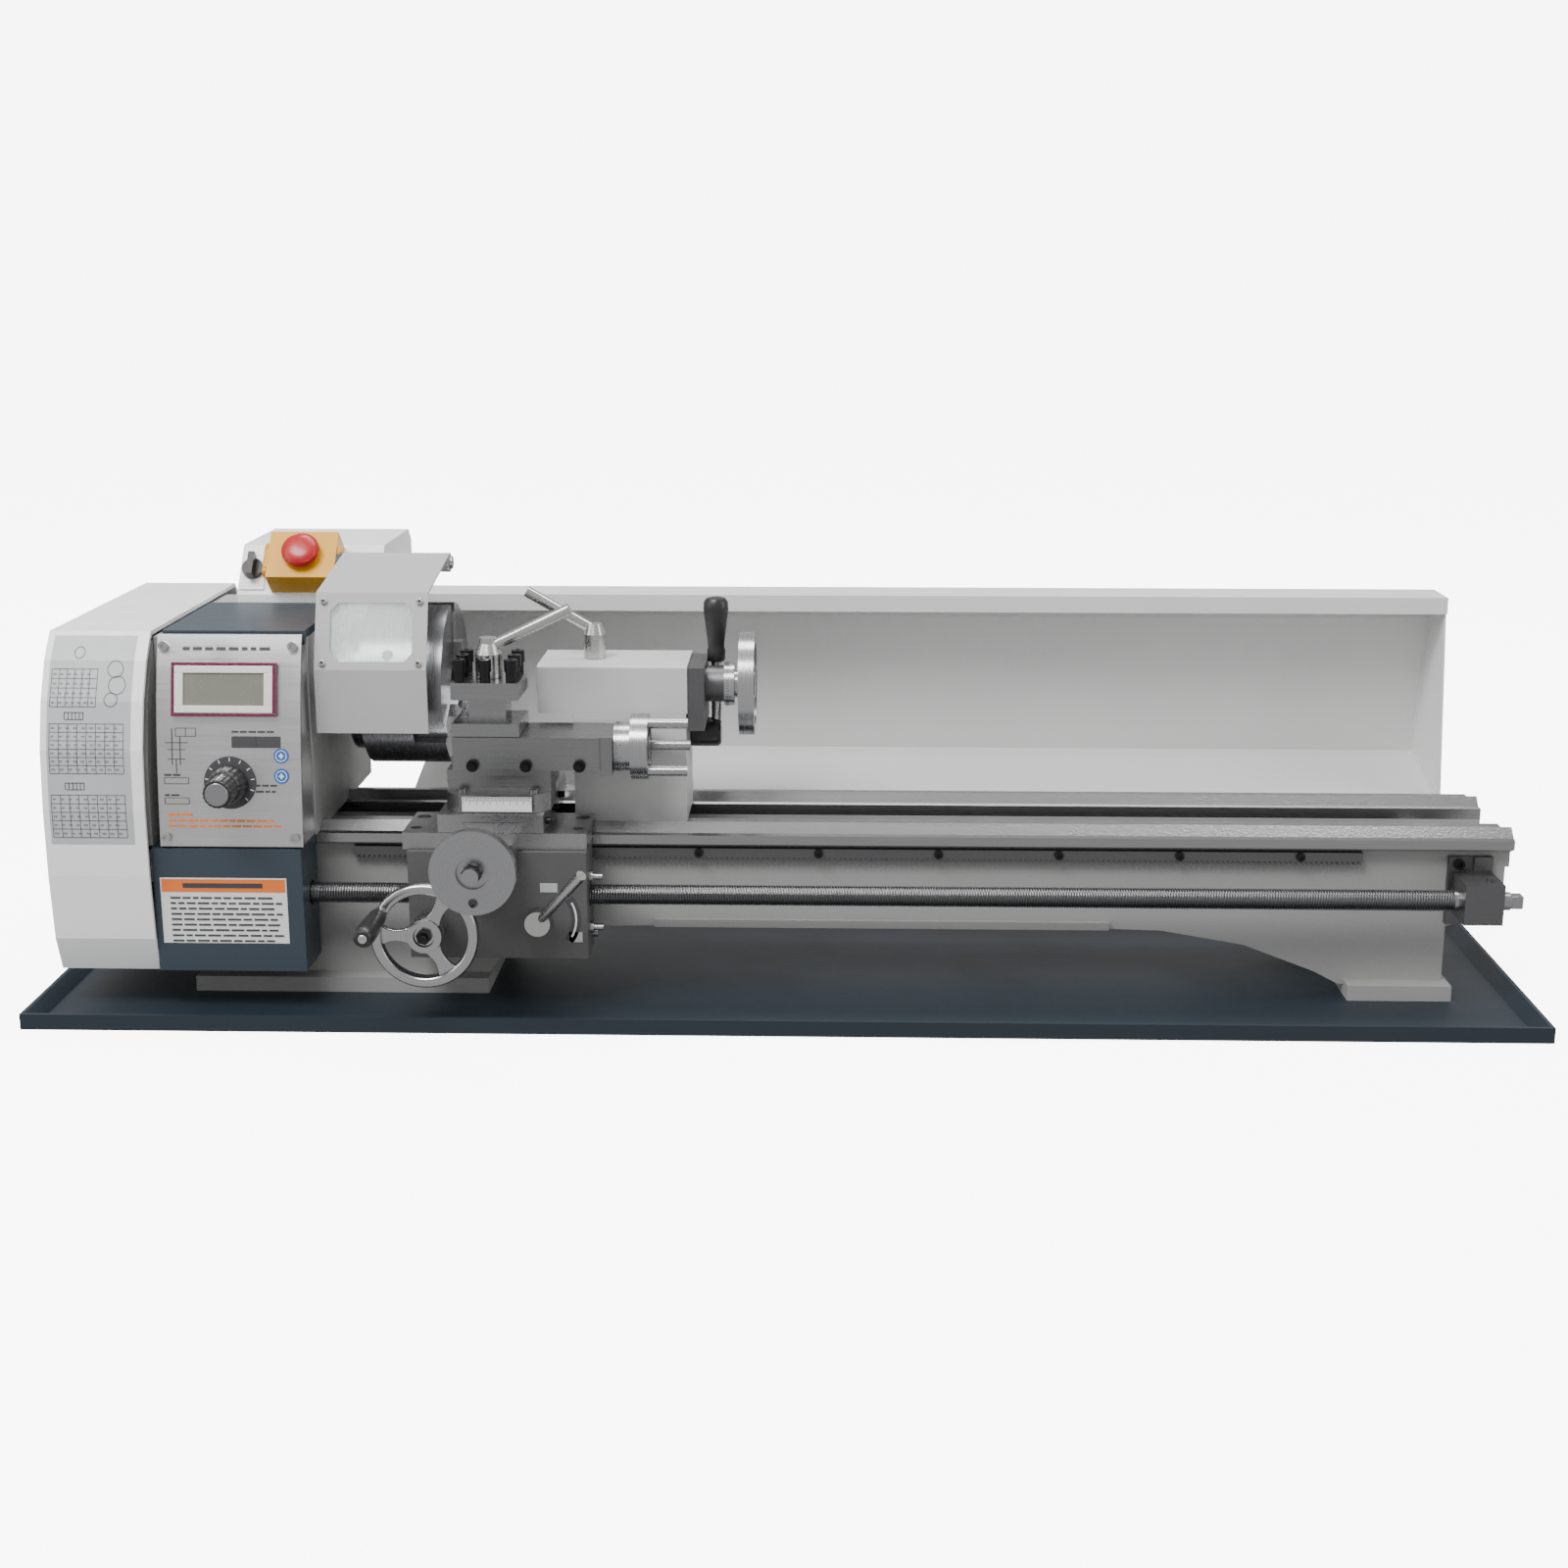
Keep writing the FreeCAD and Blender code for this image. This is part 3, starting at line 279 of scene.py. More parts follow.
M["bed_ways"] = above("bed", "ways", 2, 0.1215)
M["cross_slide_gibs"] = above("ground_y", "blackox", 0, -0.17798)
M["top_slide_gibs"] = above("ground", "blackox", 1, -0.09004, -1)
M["apron_gibs"] = above("apron", "zinc", 0, -0.14596)
NODE_MAT.update({"bed_casting": "bed_ways", "cross_slide": "cross_slide_gibs", "top_slide": "top_slide_gibs", "apron": "apron_gibs"})
for n, k in NODE_MAT.items():
    o = frame["nodes"][n]
    if not o.material_slots:
        o.data.materials.append(M[k])
    for s in o.material_slots:
        s.material = M[k]
    if n not in SHARP:
        bv = o.modifiers.new("edge", "BEVEL")
        bv.width = 0.0007
        bv.segments = 2
        bv.limit_method = "ANGLE"
        bv.angle_limit = math.radians(38)
        bv.harden_normals = False


# ------------------------------------------------------------------ mesh helpers
def obj(name, verts, faces, mat, body, bevel=0.0, smooth=True, slot=None):
    me = bpy.data.meshes.new(name)
    me.from_pydata([tuple(v) for v in verts], [], faces)
    bm = bmesh.new(); bm.from_mesh(me)
    bmesh.ops.recalc_face_normals(bm, faces=bm.faces)
    bm.to_mesh(me); bm.free()
    me.materials.append(M[mat] if isinstance(mat, str) else mat)
    o = bpy.data.objects.new(name, me)
    bpy.context.scene.collection.objects.link(o)
    if smooth:
        for p in me.polygons:
            p.use_smooth = True
        me.set_sharp_from_angle(angle=math.radians(35))
    if bevel:
        bv = o.modifiers.new("edge", "BEVEL"); bv.width = bevel; bv.segments = 3; bv.limit_method = "ANGLE"; bv.angle_limit = math.radians(35)
    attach(o, body)
    return o


def basis(axis):
    a = Vector(axis).normalized()
    u = a.orthogonal().normalized()
    return a, u, a.cross(u)


def revolve(name, prof, origin, axis, mat, body, n=64, flute=None, **k):
    # prof: (distance along axis, radius); closes at radius 0
    a, u, w = basis(axis)
    o = Vector(origin)
    vs, fs = [], []
    for i, (t, r) in enumerate(prof):
        for j in range(n):
            q = 2 * math.pi * j / n
            rr = r * (flute(q, t) if flute else 1)
            vs.append(o + a * t + u * (rr * math.cos(q)) + w * (rr * math.sin(q)))
    m = len(prof)
    closed = prof[0] == prof[-1]
    for i in range(m - 1):
        for j in range(n):
            fs.append((i * n + j, i * n + (j + 1) % n, (i + 1) * n + (j + 1) % n, (i + 1) * n + j))
    if not closed:
        fs.append(tuple(range(n))[::-1]); fs.append(tuple((m - 1) * n + j for j in range(n)))
    else:
        last = (m - 1) * n
        fs = [tuple(x - last if x >= last else x for x in f) for f in fs]
        vs = vs[:last]
    return obj(name, vs, fs, mat, body, **k)


def boxes(name, bl, mat, body, M4=None, bevel=0.0, **k):
    vs, fs = [], []
    for (x0, x1, y0, y1, z0, z1) in bl:
        s = len(vs)
        for x, y, z in ((x0, y0, z0), (x1, y0, z0), (x1, y1, z0), (x0, y1, z0), (x0, y0, z1), (x1, y0, z1), (x1, y1, z1), (x0, y1, z1)):
            v = Vector((x, y, z)) * mm
            vs.append(M4 @ v if M4 else v)
        fs += [tuple(s + i for i in f) for f in ((0, 3, 2, 1), (4, 5, 6, 7), (0, 1, 5, 4), (1, 2, 6, 5), (2, 3, 7, 6), (3, 0, 4, 7))]
    return obj(name, vs, fs, mat, body, bevel=bevel, smooth=bool(bevel), **k)


def decal(name, rects, fn, off, mat, body="frame", th=0.00015, nz=None):
    # closed thin prints lying on a front surface y = fn(z); rects in mm (x0, x1, z0, z1)
    vs, fs = [], []
    for x0, x1, z0, z1 in rects:
        k = nz or max(1, int(abs(z1 - z0) / 4))
        s = len(vs)
        for i in range(k + 1):
            z = (z0 + (z1 - z0) * i / k) * mm
            y = fn(z)
            vs += [(x0 * mm, y - off, z), (x1 * mm, y - off, z), (x0 * mm, y - off + th, z), (x1 * mm, y - off + th, z)]
        for i in range(k):
            a, c = s + 4 * i, s + 4 * i + 4
            fs += [(a, a + 1, c + 1, c), (a + 2, c + 2, c + 3, a + 3), (a, c, c + 2, a + 2), (a + 1, a + 3, c + 3, c + 1)]
        e = s + 4 * k
        fs += [(s, s + 2, s + 3, s + 1), (e, e + 1, e + 3, e + 2)]
    return obj(name, vs, fs, mat, body, smooth=False)


def disc(name, cx, cz, r, fn, off, mat, r0=0.0, n=48, a0=0.0, a1=2 * math.pi, body="frame", th=0.00015):
    vs, fs = [], []
    full = abs(a1 - a0 - 2 * math.pi) < 1e-6
    rr = [max(r0, 0.01), r]
    for i in range(n + (0 if full else 1)):
        q = a0 + (a1 - a0) * i / n
        for r_ in rr:
            x, z = (cx + r_ * math.cos(q)) * mm, (cz + r_ * math.sin(q)) * mm
            vs += [(x, fn(z) - off, z), (x, fn(z) - off + th, z)]
    k = len(vs) // 4
    for i in range(n):
        a, c = 4 * i, 4 * ((i + 1) % k)
        fs += [(a, a + 2, c + 2, c), (a + 1, c + 1, c + 3, a + 3), (a + 2, a + 3, c + 3, c + 2), (a, c, c + 1, a + 1)]
    if not full:
        e = 4 * n
        fs += [(0, 1, 3, 2), (e, e + 2, e + 3, e + 1)]
    return obj(name, vs, fs, mat, body, smooth=False)


# ------------------------------------------------------------------ instrument panel
pv = [v.co for v in frame["nodes"]["control_panel"].data.vertices]
zz = {}
for v in pv:
    z = round(v.z, 4)
    ref = np.interp(z, [0.131, 0.166, 0.206, 0.246, 0.286], [-0.117, -0.114, -0.109, -0.101, -0.088])
    if v.y < ref + 0.0009:
        zz[z] = min(zz.get(z, 9), v.y)
PZ = sorted(zz)
PY = [zz[z] for z in PZ]


def fp(z):
    return float(np.interp(z, PZ, PY))


def fc(z):      # gear cover front
    return float(np.interp(z, [0.033, 0.060, 0.110, 0.160, 0.205, 0.240, 0.268, 0.287], [-0.112, -0.122, -0.126, -0.126, -0.122, -0.112, -0.098, -0.082]))


def fl(z):      # lower cover front
    return -0.118


def table(x0, x1, z0, z1, nx, nz, w=0.35):
    r = [(x0 + (x1 - x0) * i / nx - w / 2, x0 + (x1 - x0) * i / nx + w / 2, z0, z1) for i in range(nx + 1)]
    r += [(x0, x1, z0 + (z1 - z0) * j / nz - w / 2, z0 + (z1 - z0) * j / nz + w / 2) for j in range(nz + 1)]
    return r


def dashes(x0, x1, z, h=1.6, lo=2.0, hi=6.0, gap=1.4, seed=1):
    # blank bars that stand where a line of print would be
    rnd = random.Random(seed)
    out, x = [], x0
    while x < x1 - lo:
        w = min(rnd.uniform(lo, hi), x1 - x)
        out.append((x, x + w, z - h / 2, z + h / 2)); x += w + gap
    return out


decal("panel_print_lines", dashes(-444, -379, 276, 2.2, 4, 9, 2.4, 3) + table(-407, -371, 205, 213, 2, 1, 0.4)
      + dashes(-407, -372, 216.5, 1.4, 3, 6, 1.2, 5) + dashes(-462 + 4, -442, 184.5, 1.4, 3, 6, 1.2, 6) + dashes(-458, -444, 169.5, 1.4, 3, 6, 1.2, 8)
      + table(-458, -440, 178, 182.5, 1, 1, 0.4) + table(-458, -440, 163, 167.5, 1, 1, 0.4)
      + table(-449, -434, 213, 219, 2, 1, 0.4) + [(-452, -451.4, 192, 219), (-446, -445.4, 192, 213), (-455, -442, 196, 196.5), (-455, -442, 203, 203.5), (-457, -440, 208, 208.6), (-449, -448.4, 186, 196)],
      fp, 0.0004, "ink")
decal("panel_block_left", [(-407, -389.4, 205.2, 212.8)], fp, 0.00045, "ink")
decal("panel_block_right", [(-388.6, -371, 205.2, 212.8)], fp, 0.00045, "ink")
decal("panel_note_lines", dashes(-456, -372, 150.5, 1.5, 4, 8, 1.2, 11) + dashes(-456, -372, 146.5, 1.5, 4, 8, 1.2, 12) + dashes(-456, -438, 155, 1.8, 8, 9, 1, 13), fp, 0.0004, "orange")
decal("panel_right_note", dashes(-390, -372, 177, 1.4, 3, 6, 1.2, 21) + dashes(-390, -372, 172.5, 1.4, 3, 6, 1.2, 22), fp, 0.0004, "ink")
for k, z in enumerate((199.0, 184.0)):
    disc("round_sticker_%d" % (k + 1), -370.5, z, 5.6, fp, 0.0005, "blue")
    disc("round_sticker_ring_%d" % (k + 1), -370.5, z, 4.2, fp, 0.0007, "labelwhite", 3.6)
    decal("round_sticker_bar_%d" % (k + 1), [(-372.3, -368.7, z - 0.7, z + 0.7), (-371.2, -369.8, z - 2, z + 2)], fp, 0.0007, "labelwhite")
disc("speed_scale", -409, 179, 19.5, fp, 0.0006, "ink", 0.0)
ticks = []
for i in range(11):
    q = math.radians(225 - 27 * i)
    c, s = math.cos(q), math.sin(q)
    vs_ = []
    ticks.append((q, c, s))
tv, tf = [], []
for q, c, s in ticks:
    k = len(tv)
    for r in (16.0, 18.6):
        for w in (-0.35, 0.35):
            x, z = (-409 + r * c - w * s) * mm, (179 + r * s + w * c) * mm
            tv += [(x, fp(z) - 0.00095, z), (x, fp(z) - 0.0007, z)]
    tf += [(k, k + 4, k + 6, k + 2), (k + 1, k + 3, k + 7, k + 5), (k, k + 1, k + 5, k + 4), (k + 2, k + 6, k + 7, k + 3), (k, k + 2, k + 3, k + 1), (k + 4, k + 5, k + 7, k + 6)]
obj("speed_scale_ticks", tv, tf, "labelwhite", "frame", smooth=False)

# display: rim, white frame and screen, tilted with the panel
TI = Matrix.Translation(Vector((-0.412, -0.1013, 0.247))) @ Matrix.Rotation(math.radians(-13.5), 4, "X")


def frame_ring(name, hx, hz, bx, bz, y0, y1, mat, bevel):
    bl = [(-hx, hx, y0, y1, hz - bz, hz), (-hx, hx, y0, y1, -hz, -hz + bz), (-hx, -hx + bx, y0, y1, -hz + bz - 0.01, hz - bz + 0.01), (hx - bx, hx, y0, y1, -hz + bz - 0.01, hz - bz + 0.01)]
    return boxes(name, bl, mat, "frame", TI, bevel)


r1 = frame_ring("display_rim", 39, 20, 2.6, 2.6, -3.9, 0, "magenta", 0.0004)
r2 = frame_ring("display_frame", 36.4, 17.4, 6.4, 5.4, -4.4, 0, "bezelw", 0.0005)
r3 = boxes("display_screen", [(-30.2, 30.2, -3.1, -0.4, -12.2, 12.2)], "lcd", "frame", TI, 0.0003)
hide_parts("display_module"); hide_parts("display_module"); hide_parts("display_module")

# gear cover print: one grey patch with tables, and simple gear outlines
decal("cover_patches", [(-541, -479, 135, 284)], fc, 0.00035, "sticker")
decal("cover_tables", table(-539, -505, 236, 262, 6, 4) + table(-539, -484, 188, 224, 8, 6) + table(-539, -484, 140, 172, 8, 5) + table(-528, -514, 227, 232, 5, 1, 0.5) + table(-528, -514, 176, 181, 5, 1, 0.5), fc, 0.0006, "ink")
decal("cover_blank_values", sum([dashes(-538, -485, z, 1.3, 2.2, 3.2, 3.2, int(z)) for z in (191, 197, 203, 209, 215, 221, 143, 149.5, 156, 162.5, 169)], []) + sum([dashes(-538, -506, z, 1.3, 2, 3, 2.6, int(z)) for z in (239, 245.5, 252, 258.5)], []), fc, 0.0006, "inkgrey")
for k, (x, z, r) in enumerate(((-492, 262, 6), (-490, 251, 6.5), (-494, 241, 5), (-520, 273, 4))):
    disc("cover_gear_outline_%d" % (k + 1), x, z, r, fc, 0.0006, "ink", r - 0.45)

# lower cover label, kept blank: header band and bars
decal("cover_label", [(-465, -370, 56, 107)], fl, 0.0003, "labelwhite")
decal("cover_label_band", [(-464, -371, 96, 106)], fl, 0.0005, "orange")
decal("cover_label_bars", sum([dashes(-458, -378 + 4 * (k % 2), 91.5 - 4.2 * k, 1.4, 4, 11, 1.6, 30 + k) for k in range(9)], []) + [(-448, -388, 99.3, 102.9)], fl, 0.0007, "ink")

# ------------------------------------------------------------------ knobs and stop switch
flute = lambda q, t: 1 - 0.035 * (0.5 + 0.5 * math.cos(18 * q))
kb = revolve("speed_knob_body", [(a, r * mm) for a, r in [(0, 13), (0.001, 14), (0.012, 13.6), (0.0155, 12), (0.0165, 11), (0.0335, 10.6), (0.0344, 9.9)]], (-0.409, -0.1146, 0.179), (0, -1, 0), "black", "speed_knob", 144, flute)
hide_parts("speed_knob")
kc = revolve("speed_knob_cap", [(0, 8.6 * mm), (0.0008, 8.6 * mm), (0.0012, 8.2 * mm)], (-0.409, -0.1488, 0.179), (0, -1, 0), "steel", "speed_knob", 64)
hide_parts("speed_knob")
kp = boxes("speed_knob_pointer", [(-409.5, -408.5, -146, -130.5, 188.6, 190.0)], "labelwhite", "speed_knob", None, 0.0002)
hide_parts("speed_knob")
SNv = Vector((0, -36, 30)).normalized(); SDv = Vector((0, 30, 36)).normalized()


def spt(u, s, n):
    return Vector((u, 46, 294)) * mm + SDv * (s * mm) + SNv * (n * mm)


ms = revolve("stop_mushroom_cap", [(a * mm, r * mm) for a, r in [(-16, 5.9), (0, 5.9), (0.2, 14.0), (1.2, 15.0), (3.6, 14.9), (5.6, 13.6), (7.2, 11.2), (8.2, 8.0), (8.7, 4.0), (8.8, 0.3)]], spt(-385, 23, 28), SNv, "red", "mushroom", 96, lambda q, t: 1 - (0.03 * max(0, math.cos(3 * q)) ** 6 if 0.0005 < t < 0.0075 else 0))
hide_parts("stop_mushroom")

# ------------------------------------------------------------------ guard window: clear pane and its four socket screws
pv = []
for y, z in ((-76.9, 260.4), (-59.4, 307.7)):
    for t in (0.0, 1.6):
        for x in (-345, -271):
            pv.append((x * mm, (y - 0.938 * t) * mm, (z + 0.347 * t) * mm))
pane = obj("guard_pane", pv, [(0, 1, 3, 2), (4, 6, 7, 5), (0, 4, 5, 1), (2, 3, 7, 6), (1, 5, 7, 3), (0, 2, 6, 4)], "clear", "guard", smooth=False)
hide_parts("guard_window")
GA = Vector((0, -54, 20)).normalized()
for i, (x, z) in enumerate([(-344, 263), (-272, 263), (-344, 307), (-272, 307)]):
    o0 = Vector((x, -80 + (z - 258) * 20 / 54 - 1.9, z)) * mm
    h = revolve("guard_screw_%d" % (i + 1), [(a * mm, r * mm) for a, r in [(-0.3, 1.2), (0, 2.4), (0.2, 2.6), (1.7, 2.6), (2.15, 2.2), (2.2, 1.35), (1.0, 1.3)]], o0, GA, "zinc", "guard", 32)
    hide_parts("guard_window")
    # painted shade: a dark hexagon fills the bottom of each screw's socket recess, where shade falls in the hollow of
    # the zinc screw
    h = revolve("guard_screw_socket_%d" % (i + 1), [(0.9 * mm, 1.28 * mm), (1.3 * mm, 1.28 * mm)], o0, GA, "ink", "guard", 6)
    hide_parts("guard_window")
o = revolve("cross_wheel_nut", [(a * mm, r * mm) for a, r in [(193.05, 7.2), (198.6, 7.2), (199.2, 6.7)]], (-0.2175, 0, 0.134), (0, -1, 0), "blackox", "cross_wheel", 6)

# ------------------------------------------------------------------ leadscrew with a real helical thread
P, R0, R1 = 0.002, 0.00715, 0.008
n, step = 28, P / 4
xs = np.arange(-0.352, 0.503, step)
vs, fs = [], []
for i, x in enumerate(xs):
    for j in range(n):
        q = 2 * math.pi * j / n
        ph = (x / P - j / n) % 1.0
        r = R0 + (R1 - R0) * min(1.0, max(0.0, 1.6 - 5.2 * abs(ph - 0.5)))
        vs.append((x, -0.09 + r * math.cos(q), 0.088 + r * math.sin(q)))
m = len(xs)
for i in range(m - 1):
    for j in range(n):
        fs.append((i * n + j, i * n + (j + 1) % n, (i + 1) * n + (j + 1) % n, (i + 1) * n + j))
fs.append(tuple(range(n))); fs.append(tuple((m - 1) * n + j for j in range(n)))
th = obj("leadscrew_thread", vs, fs, "screwst", "leadscrew", smooth=False)
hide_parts("leadscrew")
for nm, pr in (("leadscrew_left_end", [(-0.528, 0.0068), (-0.527, 0.007), (-0.36, 0.007), (-0.3515, 0.0078)]), ("leadscrew_right_end", [(0.5025, 0.0079), (0.5055, 0.0079), (0.506, 0.007), (0.5445, 0.007), (0.545, 0.0066)])):
    o = revolve(nm, pr, (0, -0.09, 0.088), (1, 0, 0), "steel", "leadscrew", 48)
    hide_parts("leadscrew")
o = boxes("leadscrew_square", [(545, 554, -95, -85, 83, 93)], "steel", "leadscrew", None, 0.0008)
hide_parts("leadscrew")
gv, gf, N = [], [], 50
for x in (-0.526, -0.516):
    for i in range(N):
        for d, r in ((-0.31, 23.8), (-0.13, 25.9), (0.13, 25.9), (0.31, 23.8)):
            q = 2 * math.pi * (i + d) / N
            gv.append((x, -0.09 + r * mm * math.cos(q), 0.088 + r * mm * math.sin(q)))
K = 4 * N
for j in range(K):
    gf.append((j, (j + 1) % K, K + (j + 1) % K, K + j))
gf.append(tuple(range(K))[::-1]); gf.append(tuple(range(K, 2 * K)))
o = obj("leadscrew_gear_wheel", gv, gf, "steel", "leadscrew", smooth=False)
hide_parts("leadscrew")

# ------------------------------------------------------------------ carriage handwheel: dished rim, three spokes, hub, nut
wc = (-0.262, 0, 0.073)


def torus_prof(a0, a1, r0, r1, k=20):
    ca, cr, ha, hr = (a0 + a1) / 2, (r0 + r1) / 2, (a1 - a0) / 2, (r1 - r0) / 2
    p = []
    for i in range(k):
        q = 2 * math.pi * i / k
        c, s = math.cos(q), math.sin(q)
        e = 0.62
        p.append(((ca + ha * math.copysign(abs(c) ** e, c)) * mm, (cr + hr * math.copysign(abs(s) ** e, s)) * mm))
    return p + [p[0]]


for i, o in enumerate([
        revolve("carriage_wheel_rim", torus_prof(141, 152, 31.5, 40), wc, (0, -1, 0), "wheelc", "carriage_wheel", 128),
        revolve("carriage_wheel_hub", [(a * mm, r * mm) for a, r in [(112, 5), (118, 5), (118, 11), (119, 12), (136, 12), (141, 13.5), (149, 13.5), (151.2, 12.8), (151.8, 11.6), (151.8, 8), (149.5, 7.4), (149.5, 4)]], wc, (0, -1, 0), "wheelc", "carriage_wheel", 96),
        revolve("carriage_wheel_nut", [(a * mm, r * mm) for a, r in [(149, 5.8), (153.6, 5.8), (154.2, 5.2), (154.2, 3.2), (157.4, 3.2), (158, 2.6)]], wc, (0, -1, 0), "blackox", "carriage_wheel", 6),
        revolve("carriage_wheel_shaft", [(a * mm, r * mm) for a, r in [(75, 5), (112.5, 5)]], wc, (0, -1, 0), "steel", "carriage_wheel", 32),
        revolve("carriage_wheel_pin", [(a * mm, r * mm) for a, r in [(151, 5), (156, 5), (157, 4), (157.2, 3.2), (211.6, 3.2), (212, 2.8)]], (wc[0] + 0.0362 * math.cos(math.atan2(16, -29)), 0, wc[2] + 0.0362 * math.sin(math.atan2(16, -29))), (0, -1, 0), "zinc", "carriage_wheel", 32)]):
    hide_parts("carriage_handwheel")
sv, sf = [], []
for k in range(3):
    q0 = math.radians(120 * k + 60)
    b0 = len(sv)
    for i in range(9):
        t = i / 8
        r = (12 + 22 * t) * mm
        w = (8.2 - 4.4 * math.sin(math.pi * (0.15 + 0.8 * t)) + 1.2 * t) * mm
        yc = -(147.5 - 1.5 * t) * mm
        d = Vector((math.cos(q0), 0, math.sin(q0))); e = Vector((-math.sin(q0), 0, math.cos(q0)))
        c = Vector((wc[0], 0, wc[2])) + d * r
        for a, h in ((-1, -1), (1, -1), (1, 1), (-1, 1)):
            sv.append(c + e * (a * w) + Vector((0, yc + h * 2.4 * mm, 0)))
    for i in range(8):
        for j in range(4):
            a = b0 + 4 * i
            sf.append((a + j, a + (j + 1) % 4, a + 4 + (j + 1) % 4, a + 4 + j))
    sf.append((b0, b0 + 1, b0 + 2, b0 + 3)); e_ = b0 + 32; sf.append((e_, e_ + 1, e_ + 2, e_ + 3))
o = obj("carriage_wheel_spokes", sv, sf, "wheelc", "carriage_wheel", bevel=0.001)
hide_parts("carriage_handwheel")
ckx, ckz = wc[0] + 0.0362 * math.cos(math.atan2(16, -29)), wc[2] + 0.0362 * math.sin(math.atan2(16, -29))
o = revolve("crank_grip", [(a * mm, r * mm) for a, r in [(158.5, 3.4), (158.6, 5.8), (160, 6.5), (172, 7.2), (190, 7.75), (203, 7.75), (208.5, 7.0), (210.6, 5.2), (211, 3.4)]], (ckx, 0, ckz), (0, -1, 0), "black", "crank", 48)
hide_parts("crank_handle")


# ------------------------------------------------------------------ graduated dials
def dial_ticks(name, axis, centre, r, t0, t1, body, nt_=60, mat="ink", long=5):
    a, u, w = basis(axis)
    c = Vector(centre)
    vs, fs = [], []
    for i in range(nt_):
        q = 2 * math.pi * i / nt_
        L = t1 if i % long == 0 else t0 + (t1 - t0) * 0.6
        d = u * math.cos(q) + w * math.sin(q); e = -u * math.sin(q) + w * math.cos(q)
        s = len(vs)
        for tt in (t0, L):
            for h in (-0.00013, 0.00013):
                for rr in (r - 0.0001, r + 0.00012):
                    vs.append(c + a * tt + d * rr + e * h)
        fs += [tuple(s + x for x in f) for f in ((0, 1, 3, 2), (4, 6, 7, 5), (0, 4, 5, 1), (2, 3, 7, 6), (1, 5, 7, 3), (0, 2, 6, 4))]
    return obj(name, vs, fs, mat, body, smooth=False)


dial_ticks("top_dial_ticks", (1, 0, 0), (0, -0.063, 0.197), 0.0185, -0.1270, -0.1215, "top_wheel", 60)
dial_ticks("cross_dial_ticks", (0, 1, 0), (-0.2175, 0, 0.134), 0.0139, -0.1415, -0.1465, "cross_wheel", 50)
dial_ticks("tail_dial_ticks", (1, 0, 0), (0, 0, AX), 0.017, -0.0470, -0.0425, "tail_wheel", 50)

# swivel scale: a pale plate with graduations on the flat front of the swivel base
boxes("swivel_scale_plate", [(-239, -187, -102.35, -102.03, 155.4, 166.6)], "labelwhite", "compound", None, 0.0)
tk = []
for i in range(-50, 51, 2):
    L = 5.4 if i % 10 == 0 else 3.0
    x = -213 + 0.5 * i
    tk.append((x - 0.13, x + 0.13, -102.5, -102.3, 166.2 - L, 166.2))
tk.append((-238.4, -187.6, -102.48, -102.3, 166.15, 166.4))
boxes("swivel_scale_ticks", tk, "ink", "compound", None, 0.0)

# tailstock clamp lever: hub, rod, moulded grip
for o in [revolve("tail_clamp_hub", [(a * mm, r * mm) for a, r in [(-89, 5), (-75.6, 5), (-75.6, 11), (-75, 11.5), (-54, 11.5), (-52, 9.5)]], (0, 0.020, 0.190), (1, 0, 0), "black", "tail_clamp", 48),
          revolve("tail_clamp_rod", [(a * mm, r * mm) for a, r in [(195, 4), (252, 4)]], (-0.0555, 0.020, 0), (0, 0, 1), "zinc", "tail_clamp", 32),
          revolve("tail_clamp_grip", [(a * mm, r * mm) for a, r in [(247, 4.2), (247.2, 6.2), (249, 7.0), (256, 7.2), (258, 6.4), (262, 6.6), (278, 8.6), (289, 9.9), (294, 9.6), (297, 7.6), (297.9, 4.0)]], (-0.0555, 0.020, 0), (0, 0, 1), "black", "tail_clamp", 48)]:
    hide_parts("tailstock_clamp_lever")

# half-nut position label on the apron
fa = lambda z: -0.112
decal("half_nut_label_upper", [(-181, -168, 96, 103)], fa, 0.0003, "sticker", "carriage")
decal("half_nut_label_lower", [(-160, -150, 57, 65)], fa, 0.0003, "sticker", "carriage")
disc("half_nut_arc", -182, 75, 31, fa, 0.0003, "ink", 24, 30, math.radians(-38), math.radians(36), "carriage")
disc("half_nut_arc_line", -182, 75, 28.3, fa, 0.00055, "labelwhite", 26.9, 30, math.radians(-30), math.radians(28), "carriage")

# splash guard: seam that joins the right end cheek to the bent sheet
gq = [(120, 270), (120, 282), (163, 282), (163, 259), (197, 137), (96, 113)]
dirs = [Vector((b[0] - a[0], b[1] - a[1])).normalized() for a, b in zip(gq, gq[1:])]
vs, fs = [], []
for i, q in enumerate(gq):
    m = (dirs[max(0, i - 1)] + dirs[min(i, len(dirs) - 1)]).normalized()
    d0 = dirs[max(0, i - 1)]
    w = Vector((-m.y, m.x))
    k = 1 / max(0.3, w.dot(Vector((-d0.y, d0.x))))
    for t, x in ((0.3, 538.9), (0.3, 541.1), (-3.3, 541.1), (-3.3, 538.9)):
        vs.append((x * mm, (q[0] + w.x * k * t) * mm, (q[1] + w.y * k * t) * mm))
for i in range(len(gq) - 1):
    a = 4 * i
    for j in range(4):
        fs.append((a + j, a + (j + 1) % 4, a + 4 + (j + 1) % 4, a + 4 + j))
e = 4 * (len(gq) - 1)
fs += [(0, 1, 2, 3), (e, e + 1, e + 2, e + 3)]
obj("splash_guard_end_seam", vs, fs, "splash", "frame", smooth=False)

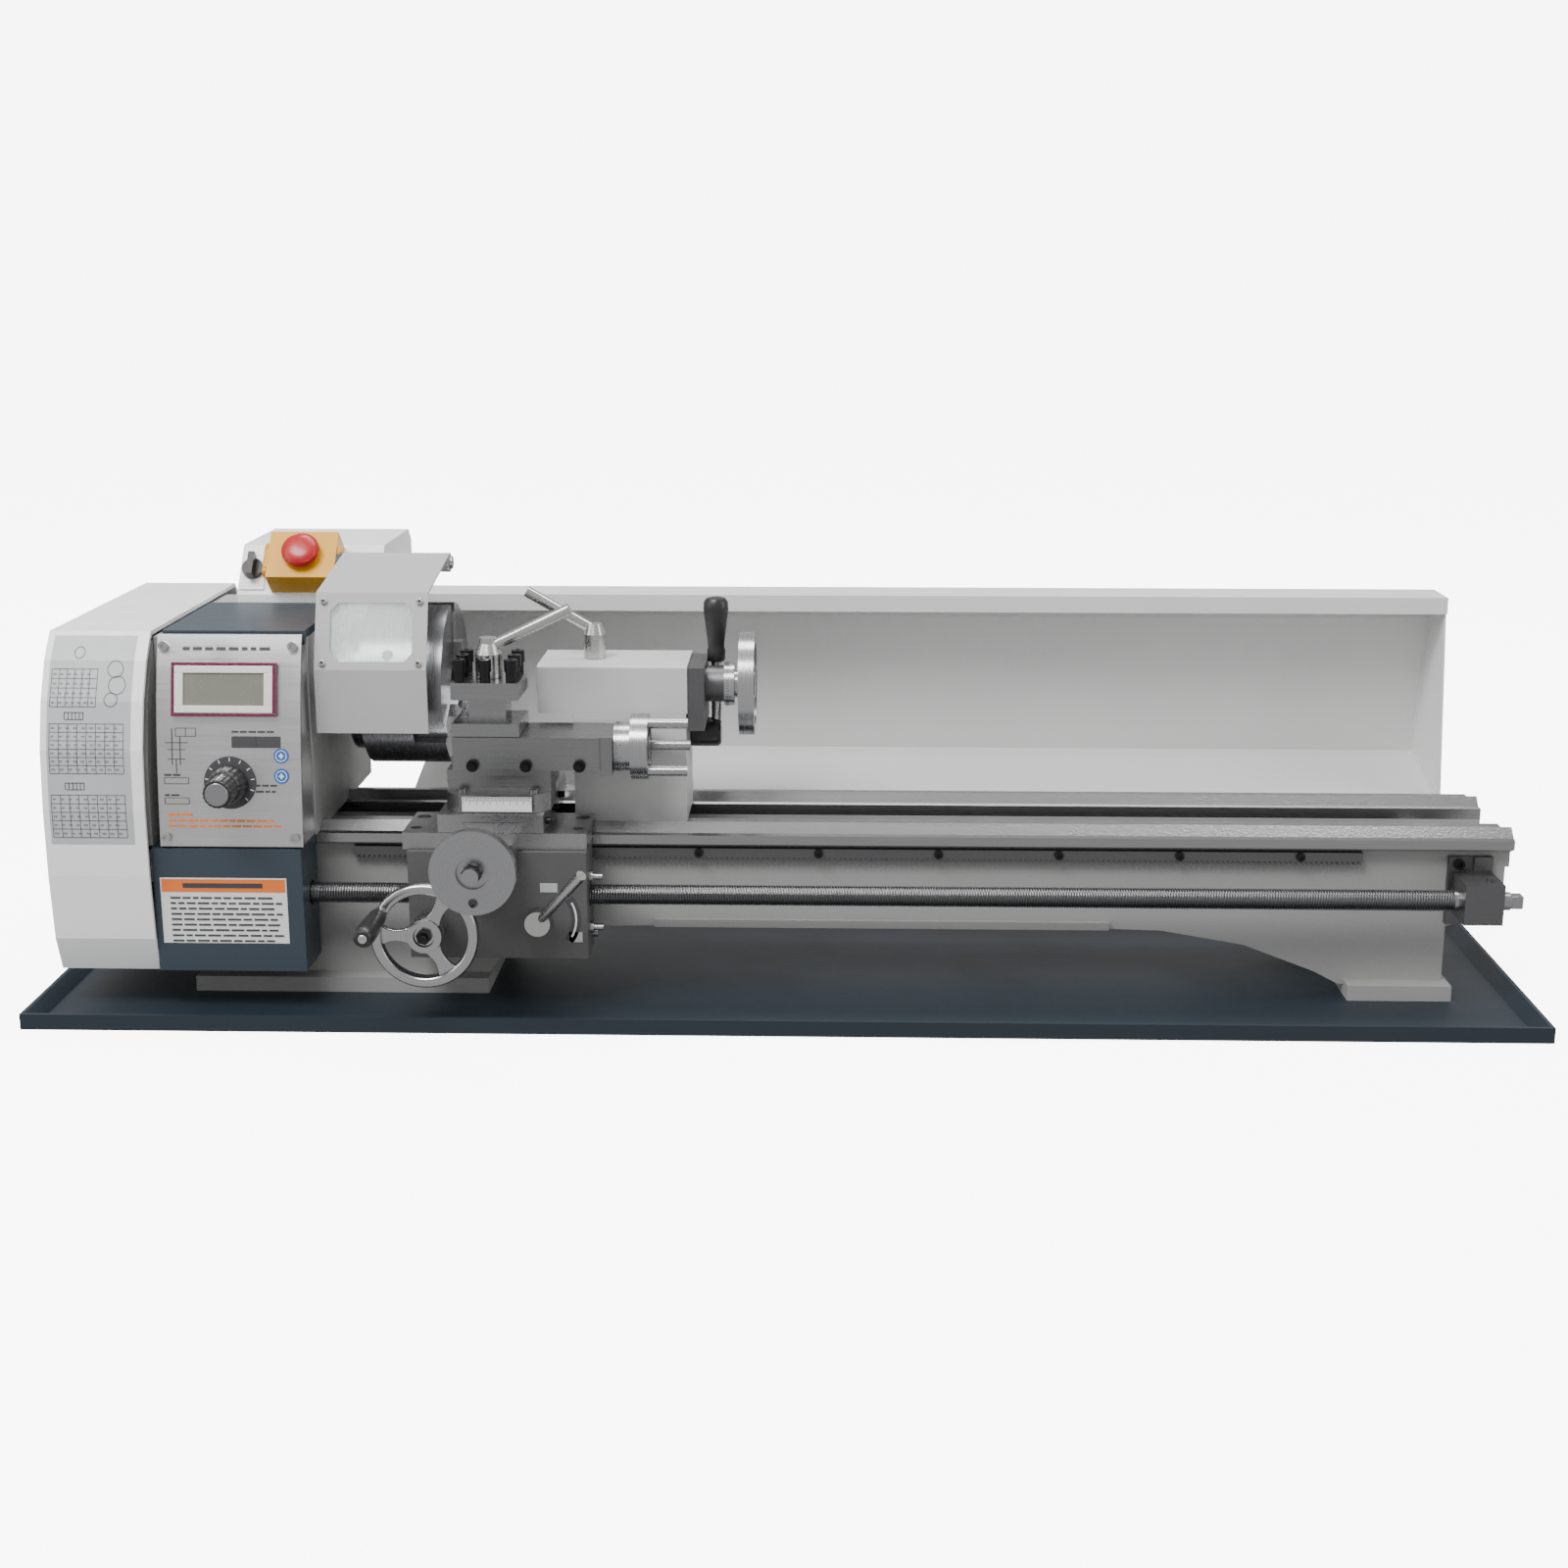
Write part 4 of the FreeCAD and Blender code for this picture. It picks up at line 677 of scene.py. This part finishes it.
# ------------------------------------------------------------------ floor, light, camera
fm, fnt, fb = newmat("studio_floor")
fnt.links.new(mixc(fnt, noise(fnt, 3, 2), (0.86, 0.86, 0.86), (0.89, 0.89, 0.89)), fb.inputs["Base Color"])
fb.inputs["Roughness"].default_value = 0.85
fb.inputs["Emission Color"].default_value = (1, 1, 1, 1)
fb.inputs["Emission Strength"].default_value = 7.0
me = bpy.data.meshes.new("studio_floor")
W = 16
me.from_pydata([(-W, -W, -0.0005), (W, -W, -0.0005), (W, W, -0.0005), (-W, W, -0.0005)], [], [(0, 1, 2, 3)])
me.materials.append(fm)
fl_o = bpy.data.objects.new("studio_floor", me)
bpy.context.scene.collection.objects.link(fl_o)
me = bpy.data.meshes.new("studio_dome")
bm = bmesh.new()
bmesh.ops.create_uvsphere(bm, u_segments=32, v_segments=16, radius=12.0)
bm.to_mesh(me)
bm.free()
me.materials.append(fm)
bk_o = bpy.data.objects.new("studio_dome", me)
bpy.context.scene.collection.objects.link(bk_o)
for o_ in (fl_o, bk_o):
    o_.visible_diffuse = False
    o_.visible_glossy = False
    o_.visible_shadow = False
w = bpy.context.scene.world or bpy.data.worlds.new("studio")
bpy.context.scene.world = w
w.use_nodes = True
bg = w.node_tree.nodes.get("Background") or w.node_tree.nodes.new("ShaderNodeBackground")
bg.inputs[0].default_value = (1, 1, 1, 1)
bg.inputs[1].default_value = 0.6


def area(name, loc, target, size, sy, power):
    l = bpy.data.lights.new(name, "AREA")
    l.shape = "RECTANGLE"; l.size = size; l.size_y = sy; l.energy = power
    o = bpy.data.objects.new(name, l)
    o.location = loc
    o.rotation_euler = (Vector(target) - Vector(loc)).to_track_quat("-Z", "Y").to_euler()
    bpy.context.scene.collection.objects.link(o)


area("key_light", (-0.9, -1.3, 2.2), (0, 0, 0.15), 1.5, 0.8, 72)
area("top_light", (0.2, 0.5, 2.4), (0, 0, 0.1), 2.2, 0.7, 40)
area("right_light", (2.2, -0.5, 1.0), (0, 0, 0.15), 0.7, 1.6, 12)
area("left_light", (-2.2, -0.9, 1.0), (-0.3, 0, 0.15), 0.7, 1.6, 10)
cd = bpy.data.cameras.new("camera")
cd.lens = 50; cd.sensor_width = 36; cd.sensor_fit = "HORIZONTAL"
co = bpy.data.objects.new("camera", cd)
co.location = (0.042, -1.666, 0.571)
co.rotation_euler = Euler((math.radians(90 - 14.1), 0, math.radians(1.5)), "XYZ")
bpy.context.scene.collection.objects.link(co)
bpy.context.scene.camera = co
